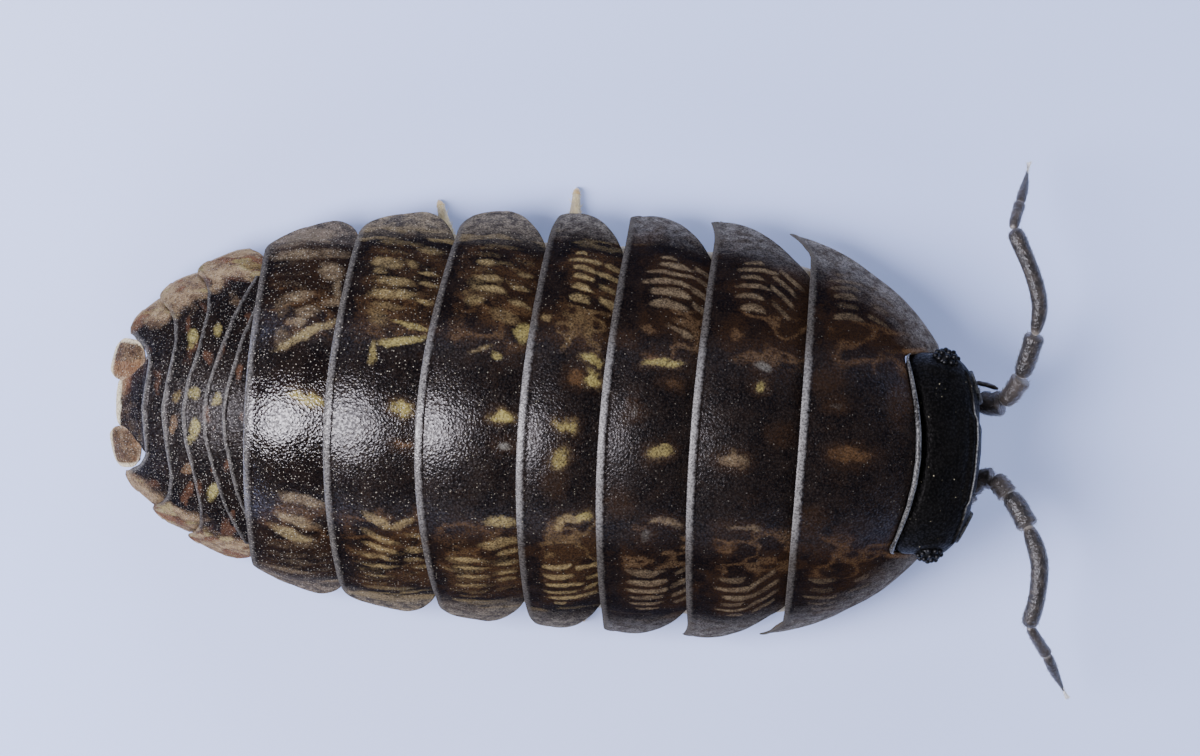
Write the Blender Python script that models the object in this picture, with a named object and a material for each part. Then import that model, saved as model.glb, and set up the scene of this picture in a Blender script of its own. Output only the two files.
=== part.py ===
# A museum model of a pill woodlouse at life size: a mottled female, 17 mm long, pausing in a walk.
# The functions work in millimetres, and MM turns them to metres as each mesh is made.
# +X is towards the head, +Y the animal's left and +Z up. The feet stand on z = 0.
# A place along the body is its station s, a place across it is t, both measured on the spine's curve.

import math

import bmesh
import bpy
from mathutils import Vector

MM = 0.001
GAP = 0.3  # kept between neighbouring pieces
PLATE = 0.5  # thickness of a back plate
LIMB = 0.26  # least radius of a leg or feeler, except at its tip

# The middle of the whole outline, feelers included, which becomes the origin
CENTRE_X = 1.005
CENTRE_Y = 0.424

# The spine bows a little towards the animal's right
SPINE_BOW = -0.0016
SPINE_TURN = 0.0045

# Outline from above: half widths with their widest station and the lengths that they fall away over
WIDEST = 4.0
WIDE_REAR = 2.5
WIDE_FRONT = 3.0
REAR_RUN = 11.1
FRONT_RUN = 5.5

# Outline from the side: the ridge of the back and the plates' lower edges
RIDGE_BASE = 1.0
RIDGE_RISE = 4.15
RIDGE_STATION = 0.3
RIDGE_REAR = 8.9
RIDGE_FRONT = 9.6
EDGE_HEIGHT = 0.95
EDGE_FRONT_LIFT = 1.05
EDGE_REAR_LIFT = 0.3
ARCH_ANGLE = math.radians(75)  # the arch stops short of upright, so that the plates' sides flare

# Each back plate of the chest: its rear margin on the midline, how far that margin sweeps forward at
# the sides, how far the front corner is rounded back, and how far the rear corner is rounded forward
# (a hook that points back is negative)
TERGITES = [
    {"rear": 4.96, "sweep": 0.0, "front_corner": -0.45, "rear_corner": -0.45},
    {"rear": 2.84, "sweep": 0.26, "front_corner": 1.5, "rear_corner": -0.12},
    {"rear": 1.05, "sweep": 0.36, "front_corner": 0.9, "rear_corner": 0.0},
    {"rear": -0.53, "sweep": 0.44, "front_corner": 0.75, "rear_corner": 0.1},
    {"rear": -2.53, "sweep": 0.68, "front_corner": 0.7, "rear_corner": 0.36},
    {"rear": -4.32, "sweep": 0.5, "front_corner": 0.4, "rear_corner": 0.5},
    {"rear": -5.89, "sweep": 0.26, "front_corner": 0.45, "rear_corner": 0.5},
]
NECK = 7.02  # front margin of the first plate, behind the head
NECK_SWEEP = -0.1
CORNER_START = 0.76  # share of the arch where a plate's corner begins to round
LIP = 0.13  # a plate's rear lip stands this far over the next plate
RIM_SLANT = 0.35  # a rim leans forward this far through the plate's thickness
SEAM = 0.37  # a gap measured along the body that leaves GAP between slanted rims

# The five short plates of the abdomen, by their rear margins, and the side lobes of the last three
PLEON_REARS = [-6.34, -6.74, -7.15, -7.5, -7.8]
PLEON_SWEEPS = [0.2, 0.16, 0.1, -0.1, -0.36]
PLEON_LIP = 0.09
PLEON_NOTCH = 0.14
PLEON_REAR_SLANT = 0.55  # the rear end leans forward this far, clear of the tail plate
BELLY = 1.85  # underside of the body
TRUNK_FRONT = 6.95
TRUNK_REAR = -5.45
TRUNK_REACH = 0.8  # share of the arch that the body fills under the plates

# Head
HEAD_CENTRE = (7.94, 0.0, 2.78)
HEAD_HALF = (0.6, 1.98, 1.15)
EYE_CENTRE = (7.82, 1.86, 2.95)
EYE_HALF = (0.36, 0.26, 0.3)
MOUTH_CENTRE = (7.5, 0.0, 1.05)
MOUTH_HALF = (0.5, 1.0, 0.3)

# Feelers, joint by joint as (x, y, z), with a radius at each joint, from socket to hair tip
LEFT_FEELER = [
    ((8.52, 1.02, 2.05), 0.29), ((8.92, 0.96, 2.16), 0.28), ((9.06, 1.12, 2.22), 0.26),
    ((9.3, 1.56, 2.42), 0.3), ((9.38, 1.82, 2.52), 0.26), ((9.5, 2.43, 2.7), 0.28),
    ((9.54, 3.03, 2.8), 0.27), ((9.36, 3.62, 2.78), 0.26), ((8.97, 4.4, 2.6), 0.26),
    ((8.93, 4.6, 2.5), 0.26), ((9.04, 4.98, 2.2), 0.25), ((9.15, 5.4, 1.78), 0.2), ((9.19, 5.6, 1.5), 0.07),
]
RIGHT_FEELER = [
    ((8.52, -0.78, 2.05), 0.29), ((8.8, -0.5, 2.14), 0.28), ((9.02, -0.6, 2.22), 0.27),
    ((9.24, -0.86, 2.34), 0.26), ((9.5, -1.17, 2.5), 0.3), ((9.66, -1.46, 2.6), 0.26),
    ((9.87, -2.01, 2.8), 0.28), ((9.88, -2.71, 2.8), 0.27), ((9.77, -3.2, 2.62), 0.26),
    ((9.79, -3.4, 2.52), 0.26), ((10.14, -3.88, 2.12), 0.25), ((10.46, -4.46, 1.66), 0.2),
    ((10.6, -4.76, 1.4), 0.07),
]

# Legs: the station of each pair's roots, and how far ahead of its root and out from the spine each
# foot stands, left then right, in the order of a slow walk
LEG_ROOTS = [5.55, 3.7, 2.05, 0.3, -1.5, -3.35, -5.0]
LEG_STEPS = [
    {"left": (0.95, 2.75), "right": (0.45, 2.95)},
    {"left": (0.1, 3.45), "right": (0.75, 3.3)},
    {"left": (0.6, 3.4), "right": (-0.15, 3.5)},
    {"left": (0.03, 4.38), "right": (0.69, 4.03)},
    {"left": (-0.84, 3.98), "right": (-0.25, 3.5)},
    {"left": (-0.2, 3.3), "right": (-0.75, 3.25)},
    {"left": (-0.5, 2.85), "right": (-0.2, 2.9)},
]
LEG_ROOT_SIDE = 1.55
LEG_ROOT_HEIGHT = BELLY - GAP - 0.02
KNEE_HEIGHT = 1.12
FOOT_RADIUS = 0.12

# Tail fan
TELSON_FRONT = (-8.04, 2.2)
TELSON_TIP = (-8.5, 1.32)
TELSON_SET_IN = (0.34, 0.27)  # from its outer face to its inner one, forward and down
TELSON_FRONT_HALF = 0.74
TELSON_TIP_HALF = 0.32
UROPOD_CENTRE = (-8.38, 1.04, 1.22)
UROPOD_HALF = (0.24, 0.26, 0.26)
GILLS_CENTRE = (-6.75, 0.0, 1.2)
GILLS_HALF = (0.95, 1.35, 0.26)

# Mesh fineness
ACROSS = 26
ALONG = 5


def clear_scene():
    for item in list(bpy.data.objects):
        bpy.data.objects.remove(item, do_unlink=True)


def make_collection(name):
    collection = bpy.data.collections.new(name)
    bpy.context.scene.collection.children.link(collection)
    return collection


def make_material(name, colour, roughness):
    material = bpy.data.materials.new(name)
    material.use_nodes = True
    shader = material.node_tree.nodes["Principled BSDF"]
    shader.inputs["Base Color"].default_value = (*colour, 1.0)
    shader.inputs["Roughness"].default_value = roughness
    shader.inputs["Metallic"].default_value = 0.0
    return material


def clamp01(value):
    return min(1.0, max(0.0, value))


def boxy(value, power):
    """A share of -1 to 1 pushed out towards its ends by a power under 1."""
    return math.copysign(abs(value) ** power, value)


def to_world(s, t, z):
    """A place on the body, in millimetres on the spine's curve, as a point in metres."""
    heading = SPINE_TURN + 2 * SPINE_BOW * s
    x = s - t * heading - CENTRE_X
    y = SPINE_BOW * s * s + SPINE_TURN * s + t - CENTRE_Y
    return Vector((x * MM, y * MM, z * MM))


def free_point(place):
    """A point given straight in body millimetres, off the spine's curve."""
    x, y, z = place
    return ((x - CENTRE_X) * MM, (y - CENTRE_Y) * MM, z * MM)


def half_width(s):
    if s < WIDE_REAR:
        return WIDEST * max(0.0, 1 - ((WIDE_REAR - s) / REAR_RUN) ** 3) ** (1 / 2.4)
    if s > WIDE_FRONT:
        return WIDEST * max(0.0, 1 - ((s - WIDE_FRONT) / FRONT_RUN) ** 2.4) ** 0.6
    return WIDEST


def ridge_height(s):
    run = RIDGE_FRONT if s > RIDGE_STATION else RIDGE_REAR
    share = abs(s - RIDGE_STATION) / run
    return RIDGE_BASE + RIDGE_RISE * max(0.0, 1 - share ** 2.4) ** 0.5


def edge_height(s):
    front = clamp01((s - 4) / 3.8)
    rear = clamp01((-s - 5) / 3.5)
    return EDGE_HEIGHT + EDGE_FRONT_LIFT * front ** 2 + EDGE_REAR_LIFT * rear ** 2


def across_share(u):
    """How far out from the spine a share u of the arch lies, as a share of the half width."""
    return math.sin(ARCH_ANGLE * u) / math.sin(ARCH_ANGLE)


def arch(s, u, inset, lift):
    """The side place and height at share u of the arch over station s, set in from the surface."""
    rise = (math.cos(ARCH_ANGLE * u) - math.cos(ARCH_ANGLE)) / (1 - math.cos(ARCH_ANGLE))
    t = (half_width(s) - inset + 0.3 * lift) * across_share(u)
    edge = edge_height(s)
    z = edge + (ridge_height(s) + lift - inset - edge) * rise
    return t, z


def corner_share(u):
    return clamp01((abs(u) - CORNER_START) / (1 - CORNER_START)) ** 1.6


def rear_margin(index, u):
    plate = TERGITES[index]
    return plate["rear"] + plate["sweep"] * across_share(abs(u)) ** 2


def front_margin(index, u):
    if index == 0:
        return NECK + NECK_SWEEP * across_share(abs(u)) ** 2
    return rear_margin(index - 1, u) - SEAM


def finish(name, mesh_data, material, collection):
    """Turns a bmesh into a smooth-shaded object of its own node."""
    bmesh.ops.recalc_face_normals(mesh_data, faces=mesh_data.faces)
    if mesh_data.calc_volume(signed=True) < 0:
        bmesh.ops.reverse_faces(mesh_data, faces=mesh_data.faces)
    mesh = bpy.data.meshes.new(name)
    mesh_data.to_mesh(mesh)
    mesh_data.free()
    mesh.shade_smooth()
    mesh.set_sharp_from_angle(angle=math.radians(40))
    mesh.materials.append(material)
    item = bpy.data.objects.new(name, mesh)
    collection.objects.link(item)
    return item


def make_slab(name, columns, rows, place, material, collection):
    """A sheet of columns by rows with a second layer under it: place(u, v, layer) gives each point,
    with u from -1 at the right to 1 at the left, v from 0 at the front to 1 at the rear, and layer
    0 outside and 1 inside."""
    slab = bmesh.new()
    bmesh.ops.create_grid(slab, x_segments=rows, y_segments=columns, size=1.0)
    outer = list(slab.verts)
    shares = {vert: (vert.co.y, (1 - vert.co.x) / 2) for vert in outer}
    raised = bmesh.ops.extrude_face_region(slab, geom=list(slab.faces), use_keep_orig=True)
    inner = [item for item in raised["geom"] if isinstance(item, bmesh.types.BMVert)]
    for vert in inner:
        vert.co = place(vert.co.y, (1 - vert.co.x) / 2, 1)
    for vert in outer:
        u, v = shares[vert]
        vert.co = place(u, v, 0)
    return finish(name, slab, material, collection)


def make_ball(name, segments, rings, place, material, collection):
    """A sphere whose points of unit length are moved by place(x, y, z)."""
    ball = bmesh.new()
    bmesh.ops.create_uvsphere(ball, u_segments=segments, v_segments=rings, radius=1.0)
    for vert in ball.verts:
        vert.co = place(*vert.co)
    return finish(name, ball, material, collection)


def make_tergite(index, material, collection):
    """One arched plate: its rims lean forward through its thickness, so that its rear lip overhangs
    the next plate's front edge."""
    plate = TERGITES[index]

    def place(u, v, layer):
        corner = corner_share(u)
        front = front_margin(index, u) - plate["front_corner"] * corner
        rear = rear_margin(index, u) + plate["rear_corner"] * corner
        slant = RIM_SLANT * layer
        if index == 0:
            slant *= v
        s = front + (rear - front) * v + slant
        t, z = arch(s, u, PLATE * layer, LIP * v)
        return to_world(s, t, z)

    return make_slab(f"tergite_{index + 1}", ACROSS, ALONG, place, material, collection)


def make_abdomen(material, collection):
    """The five short plates as one solid with a raised lip at the rear of each, and side lobes."""
    fronts = [TERGITES[-1]["rear"] - SEAM] + PLEON_REARS[:-1]
    rows = 3 * len(PLEON_REARS) - 1

    def place(u, v, layer):
        row = round(v * rows)
        plate = row // 3
        share = (0.0, 0.5, 1.0)[row % 3]
        step = 0.03 if share == 0.0 and plate > 0 else 0.0
        side = across_share(abs(u)) ** 2
        last = len(PLEON_SWEEPS) - 1
        sweep_front = PLEON_SWEEPS[plate - 1] if plate > 0 else TERGITES[-1]["sweep"]
        front = fronts[plate] - step + sweep_front * side
        rear = PLEON_REARS[plate] + PLEON_SWEEPS[plate] * side
        s = front + (rear - front) * share
        lobe = PLEON_NOTCH * (1 - share) if 2 <= plate <= last else 0.0
        t, z = arch(s, u, lobe * abs(u) ** 6, PLEON_LIP * share)
        if layer == 1:
            t *= 0.82
            z = min(z - 0.35, BELLY)
            s += RIM_SLANT + (PLEON_REAR_SLANT - RIM_SLANT) * v
            z = max(z, edge_height(s) + 0.02)
        return to_world(s, t, z)

    return make_slab("abdomen", ACROSS, rows, place, material, collection)


def make_trunk(material, collection):
    """The body under the chest plates: its top follows them at a gap, and its belly is flat."""

    def place(u, v, layer):
        s = TRUNK_FRONT + (TRUNK_REAR - TRUNK_FRONT) * v
        t, z = arch(s, TRUNK_REACH * u, PLATE + GAP + 0.02, 0.0)
        if layer == 1:
            t *= 0.9
            z = BELLY
        return to_world(s, t, z)

    return make_slab("trunk", 14, 12, place, material, collection)


def make_head(material, collection, cutters):
    """A wide, low head with a steep face, and a socket for each eye."""
    cx, cy, cz = HEAD_CENTRE
    hx, hy, hz = HEAD_HALF

    def place(x, y, z):
        along = boxy(x, 0.55)
        side = boxy(y, 0.62)
        up = boxy(z, 0.75)
        under = max(0.0, -up)
        over = max(0.0, up)
        t = cy + hy * side * (1 - 0.28 * under)
        s = cx + hx * along - 0.26 * side ** 2 - 0.8 * under * clamp01(along)
        height = cz + hz * up - 0.3 * over * side ** 2 - 0.5 * over * (along + 1) / 2
        return to_world(s, t, height)

    head = make_ball("head", 26, 16, place, material, collection)
    for label, side in (("left", 1), ("right", -1)):
        socket = make_ellipsoid(f"socket_{label}", EYE_CENTRE, EYE_HALF, GAP, side, material, cutters)
        socket.hide_render = True
        socket.display_type = "WIRE"
        cut = head.modifiers.new(f"socket_{label}", "BOOLEAN")
        cut.operation = "DIFFERENCE"
        cut.object = socket
    return head


def make_ellipsoid(name, centre, half, extra, side, material, collection):
    """An ellipsoid with extra added to its half sizes, on the left (1) or the right (-1)."""
    cx, cy, cz = centre
    hx, hy, hz = half

    def place(x, y, z):
        return to_world(cx + (hx + extra) * x, side * cy + (hy + extra) * y, cz + (hz + extra) * z)

    return make_ball(name, 14, 10, place, material, collection)


def make_cushion(name, centre, half, material, collection):
    """A flattened block with rounded edges, for the mouthparts and the gill plates."""
    cx, cy, cz = centre
    hx, hy, hz = half

    def place(x, y, z):
        return to_world(cx + hx * boxy(x, 0.6), cy + hy * boxy(y, 0.6), cz + hz * boxy(z, 0.6))

    return make_ball(name, 16, 10, place, material, collection)


def make_limb(name, joints, material, collection):
    """A tube through the joints, with a radius at each."""
    curve = bpy.data.curves.new(name, "CURVE")
    curve.dimensions = "3D"
    curve.bevel_depth = MM
    curve.bevel_resolution = 2
    curve.use_fill_caps = True
    spline = curve.splines.new("POLY")
    spline.points.add(len(joints) - 1)
    for point, (place, radius) in zip(spline.points, joints):
        point.co = (*place, 1.0)
        point.radius = radius
    spline.use_smooth = True
    curve.materials.append(material)
    limb = bpy.data.objects.new(name, curve)
    collection.objects.link(limb)
    return limb


def make_leg(number, label, side, material, collection):
    """A leg from its root under the belly, out over the knee and down to a flat foot."""
    root = LEG_ROOTS[number]
    ahead, out = LEG_STEPS[number][label]
    reaches_out = out > 3.6
    low = 0.36 if reaches_out else 0.5
    middle = 0.66 if reaches_out else 0.82
    stops = [
        (0.0, LEG_ROOT_SIDE, LEG_ROOT_HEIGHT, LIMB),
        (0.0, LEG_ROOT_SIDE + 0.03, LEG_ROOT_HEIGHT - 0.16, 0.28),
        (0.12, LEG_ROOT_SIDE + 0.55, KNEE_HEIGHT + 0.05, 0.28),
        (0.3, LEG_ROOT_SIDE + 0.95, KNEE_HEIGHT - 0.1, LIMB),
        (0.52, LEG_ROOT_SIDE + 0.53 * (out - LEG_ROOT_SIDE), middle, 0.27),
        (0.75, LEG_ROOT_SIDE + 0.74 * (out - LEG_ROOT_SIDE), low, 0.25),
        (0.94, out - 0.14, 0.2, 0.16),
        (1.0, out, 0.12, FOOT_RADIUS),
        (1.0, out, 0.0, FOOT_RADIUS),
    ]
    joints = []
    for share, t, z, radius in stops:
        joints.append((to_world(root + ahead * share, side * t, z), radius))
    return make_limb(f"leg_{label}_{number + 1}", joints, material, collection)


def make_feeler(label, joints, material, collection):
    placed = [(free_point(place), radius) for place, radius in joints]
    return make_limb(f"antenna_{label}", placed, material, collection)


def make_telson(material, collection):
    """The tail plate, which slopes down to a narrow blunt tip."""
    front_s, front_z = TELSON_FRONT
    tip_s, tip_z = TELSON_TIP

    def place(u, v, layer):
        half = TELSON_FRONT_HALF + (TELSON_TIP_HALF - TELSON_FRONT_HALF) * v ** 0.8
        s = front_s + (tip_s - front_s) * v
        z = front_z + (tip_z - front_z) * v + 0.12 * (1 - u * u)
        if layer == 1:
            s += TELSON_SET_IN[0]
            z -= TELSON_SET_IN[1]
        return to_world(s, half * u, z)

    return make_slab("telson", 8, 4, place, material, collection)


def make_uropods(material, collection):
    for label, side in (("left", 1), ("right", -1)):
        cx, cy, cz = UROPOD_CENTRE
        hx, hy, hz = UROPOD_HALF

        def place(x, y, z):
            return to_world(cx + hx * boxy(x, 0.5), side * cy + hy * boxy(y, 0.5), cz + hz * boxy(z, 0.5))

        make_ball(f"uropod_{label}", 14, 8, place, material, collection)


def build():
    clear_scene()
    body = make_collection("pill_woodlouse")
    cutters = make_collection("cutters")
    cuticle = make_material("mottled_cuticle", (0.025, 0.019, 0.014), 0.32)
    black = make_material("black_cuticle", (0.008, 0.008, 0.009), 0.35)
    eye_black = make_material("eye_lens", (0.004, 0.004, 0.005), 0.15)
    grey = make_material("grey_limb", (0.09, 0.082, 0.075), 0.4)
    pale = make_material("pale_underside", (0.42, 0.38, 0.31), 0.5)

    for index in range(len(TERGITES)):
        make_tergite(index, cuticle, body)
    make_abdomen(cuticle, body)
    make_telson(cuticle, body)
    make_uropods(cuticle, body)
    make_trunk(pale, body)
    make_head(black, body, cutters)
    for label, side in (("left", 1), ("right", -1)):
        make_ellipsoid(f"eye_{label}", EYE_CENTRE, EYE_HALF, 0.0, side, eye_black, body)
    make_cushion("mouthparts", MOUTH_CENTRE, MOUTH_HALF, pale, body)
    make_cushion("gill_plates", GILLS_CENTRE, GILLS_HALF, pale, body)
    make_feeler("left", LEFT_FEELER, grey, body)
    make_feeler("right", RIGHT_FEELER, grey, body)
    for number in range(len(LEG_ROOTS)):
        make_leg(number, "left", 1, pale, body)
        make_leg(number, "right", -1, pale, body)


build()
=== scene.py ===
import math
from functools import partial

import bmesh
import bpy
import numpy as np
from mathutils import Matrix, Vector


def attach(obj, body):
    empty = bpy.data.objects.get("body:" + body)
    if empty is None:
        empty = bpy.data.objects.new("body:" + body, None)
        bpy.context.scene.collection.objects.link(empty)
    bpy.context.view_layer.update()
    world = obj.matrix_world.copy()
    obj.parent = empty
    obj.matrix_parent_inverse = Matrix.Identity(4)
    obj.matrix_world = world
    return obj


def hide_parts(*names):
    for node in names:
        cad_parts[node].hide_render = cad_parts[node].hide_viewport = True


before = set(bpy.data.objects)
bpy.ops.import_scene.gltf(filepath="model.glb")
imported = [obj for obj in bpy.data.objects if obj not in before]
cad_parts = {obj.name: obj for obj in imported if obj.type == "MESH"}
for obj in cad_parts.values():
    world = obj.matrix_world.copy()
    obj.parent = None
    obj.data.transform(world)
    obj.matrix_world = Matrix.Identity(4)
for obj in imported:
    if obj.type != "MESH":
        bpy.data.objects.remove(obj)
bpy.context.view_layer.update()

# Pill woodlouse at life size, as a museum model maker would finish it: mottled glossy back plates,
# black head, jointed feelers and legs, pale underside. Shapes are worked in millimetres on the body's
# own stations: s along the spine, t across it, z up. The same named sizes of the body built the solids.
mm = 0.001
print("woodlouse: solids loaded")

body = {
    "centreX": 1.005, "centreY": 0.424,       # middle of the whole outline, feelers included
    "spineBow": -0.0016, "spineTurn": 0.0045,
    "widest": 4.0, "wideRear": 2.5, "wideFront": 3.0, "rearRun": 11.1, "frontRun": 5.5,
    "ridgeBase": 1.0, "ridgeRise": 4.15, "ridgeStation": 0.3, "ridgeRear": 8.9, "ridgeFront": 9.6,
    "edgeHeight": 0.95, "edgeFrontLift": 1.05, "edgeRearLift": 0.3,
    "archAngle": math.radians(75),
}


def clamp01(value):
    return np.clip(value, 0.0, 1.0)


def smooth(low, high, value):
    share = clamp01((np.asarray(value, dtype=float) - low) / (high - low))
    return share * share * (3 - 2 * share)


# One between the middle two edges, and nothing before the first and after the last.
def zone(value, edges):
    return smooth(edges[0], edges[1], value) * (1 - smooth(edges[2], edges[3], value))


def boxy(value, power):
    return np.sign(value) * np.abs(value) ** power


def toWorld(s, t, z):
    s, t, z = np.broadcast_arrays(np.asarray(s, float), np.asarray(t, float), np.asarray(z, float))
    heading = body["spineTurn"] + 2 * body["spineBow"] * s
    x = s - t * heading - body["centreX"]
    y = body["spineBow"] * s * s + body["spineTurn"] * s + t - body["centreY"]
    return np.stack([x, y, z], axis=-1) * mm


def halfWidth(s):
    s = np.asarray(s, float)
    rear = 1 - (np.maximum(0.0, body["wideRear"] - s) / body["rearRun"]) ** 3
    front = 1 - (np.maximum(0.0, s - body["wideFront"]) / body["frontRun"]) ** 2.4
    return body["widest"] * np.minimum(np.maximum(0, rear) ** (1 / 2.4), np.maximum(0, front) ** 0.6)


def ridgeHeight(s):
    s = np.asarray(s, float)
    run = np.where(s > body["ridgeStation"], body["ridgeFront"], body["ridgeRear"])
    share = np.abs(s - body["ridgeStation"]) / run
    return body["ridgeBase"] + body["ridgeRise"] * np.sqrt(np.maximum(0.0, 1 - share ** 2.4))


def edgeHeight(s):
    s = np.asarray(s, float)
    front = clamp01((s - 4) / 3.8)
    rear = clamp01((-s - 5) / 3.5)
    return body["edgeHeight"] + body["edgeFrontLift"] * front ** 2 + body["edgeRearLift"] * rear ** 2


def acrossShare(u):
    return np.sin(body["archAngle"] * u) / math.sin(body["archAngle"])


# Side place and height of the back's surface at share u of the arch over station s.
def archPoint(s, u):
    low = math.cos(body["archAngle"])
    rise = (np.cos(body["archAngle"] * u) - low) / (1 - low)
    edge = edgeHeight(s)
    return halfWidth(s) * acrossShare(u), edge + (ridgeHeight(s) - edge) * rise


# Smooth random fields, the same on every run, for markings and small unevenness
def valueNoise(x, y, seed):
    cellX = np.floor(x)
    cellY = np.floor(y)
    shareX = x - cellX
    shareY = y - cellY
    shareX = shareX * shareX * (3 - 2 * shareX)
    shareY = shareY * shareY * (3 - 2 * shareY)

    def corner(i, j):
        value = np.sin((cellX + i) * 127.1 + (cellY + j) * 311.7 + seed * 74.7) * 43758.5453
        return value - np.floor(value)

    low = corner(0, 0) * (1 - shareX) + corner(1, 0) * shareX
    high = corner(0, 1) * (1 - shareX) + corner(1, 1) * shareX
    return low * (1 - shareY) + high * shareY


def layeredNoise(x, y, seed, layers=3):
    total = 0.0
    weight = 0.0
    for layer in range(layers):
        strength = 0.5 ** layer
        field = valueNoise(x * 2 ** layer + 17.3 * layer, y * 2 ** layer, seed + layer)
        total = total + strength * field
        weight += strength
    return total / weight


def rowChance(row, seed):
    value = np.sin(row * 91.7 + seed * 37.3) * 24634.6345
    return value - np.floor(value)


def toLinear(hexColour):
    channels = [int(hexColour[i:i + 2], 16) / 255 for i in (0, 2, 4)]
    linear = [c / 12.92 if c <= 0.04045 else ((c + 0.055) / 1.055) ** 2.4 for c in channels]
    return (*linear, 1.0)


# Adds a node, sets its options, and sets or links its inputs. A tuple (node, output) is a link, and a
# string given to a colour is its hex value. A tree's own "add" is this function, given that tree.
def addNode(tree, kind, inputs=None, **settings):
    node = tree.nodes.new(kind)
    for key, value in settings.items():
        setattr(node, key, value)
    for key, value in (inputs or {}).items():
        socket = node.inputs[key]
        if isinstance(value, tuple) and isinstance(value[0], bpy.types.Node):
            tree.links.new(value[0].outputs[value[1]], socket)
        elif isinstance(value, str) and socket.type == "RGBA":
            socket.default_value = toLinear(value)
        else:
            socket.default_value = value
    return node


def newMaterial(name):
    material = bpy.data.materials.new(name)
    material.use_nodes = True
    material.node_tree.nodes.clear()
    return material, partial(addNode, material.node_tree)


# Clouds of a second colour in the first: the colour, its noise and the place that both read.
def cloudyColour(add, scale, detail, edges, most, first, second):
    place = add("ShaderNodeTexCoord")
    noise = add("ShaderNodeTexNoise", {"Vector": (place, "Object"), "Scale": scale, "Detail": detail})
    share = add("ShaderNodeMapRange", {"Value": (noise, 0), 1: edges[0], 2: edges[1], 4: most})
    colour = add("ShaderNodeMix", {0: (share, 0), 6: first, 7: second}, data_type="RGBA")
    return colour, noise, place


def newObject(name, data):
    thing = bpy.data.objects.new(name, data)
    bpy.context.scene.collection.objects.link(thing)
    return thing


def meshFrom(name, points, faces, material):
    points = np.asarray(points, float)
    faces = np.asarray(faces)
    first = points[faces[:, 0]]
    volume = 0.0
    for k in range(1, faces.shape[1] - 1):
        sides = np.cross(points[faces[:, k]], points[faces[:, k + 1]])
        volume += np.einsum("ij,ij->i", first, sides).sum()
    if volume < 0:
        faces = faces[:, ::-1]
    mesh = bpy.data.meshes.new(name)
    mesh.from_pydata(points.tolist(), [], faces.tolist())
    mesh.shade_smooth()
    mesh.materials.append(material)
    return newObject(name, mesh)


def giveAttribute(piece, name, values):
    layer = piece.data.attributes.new(name, "FLOAT", "POINT")
    layer.data.foreach_set("value", np.asarray(values, dtype=np.float32).ravel())


def gridFaces(rows, columns, start=0, flip=False):
    r, c = np.meshgrid(np.arange(rows - 1), np.arange(columns - 1), indexing="ij")
    a = (start + r * columns + c).ravel()
    quads = np.stack([a, a + 1, a + columns + 1, a + columns], axis=1)
    return quads[:, ::-1] if flip else quads


def sheetNormals(base):
    across = np.gradient(base, axis=1)
    along = np.gradient(base, axis=0)
    normal = np.cross(across, along)
    normal /= np.maximum(np.linalg.norm(normal, axis=2, keepdims=True), 1e-12)
    if normal[:, :, 2].sum() < 0:
        normal = -normal
    return normal


# Closes two grids of points, in metres, into one body.
def closedShell(name, outer, inner, tones, material):
    rows, columns = outer.shape[:2]
    count = rows * columns
    faces = [gridFaces(rows, columns), gridFaces(rows, columns, count, flip=True)]
    ring = list(range(columns)) + [r * columns + columns - 1 for r in range(1, rows)]
    ring += [(rows - 1) * columns + c for c in range(columns - 2, -1, -1)]
    ring += [r * columns for r in range(rows - 2, 0, -1)]
    ring = np.array(ring)
    following = np.roll(ring, -1)
    faces.append(np.stack([following, ring, ring + count, following + count], axis=1))
    points = np.concatenate([outer.reshape(-1, 3), inner.reshape(-1, 3)])
    piece = meshFrom(name, points, np.concatenate(faces), material)
    for key, (upper, lower) in tones.items():
        giveAttribute(piece, key, np.concatenate([upper.ravel(), lower.ravel()]))
    return piece


# A thin shell: the surface stands lift over base, with a second layer thickness under it, both in
# millimetres. marks are named values for every point of the surface.
def closedSheet(name, base, lift, thickness, marks, material):
    outer = base + sheetNormals(base) * (lift[:, :, None] * mm)
    inner = outer - sheetNormals(outer) * (thickness[:, :, None] * mm)
    tones = {key: (values, values) for key, values in marks.items()}
    tones["inside"] = (np.zeros(lift.shape), np.ones(lift.shape))
    return closedShell(name, outer, inner, tones, material)


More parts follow.
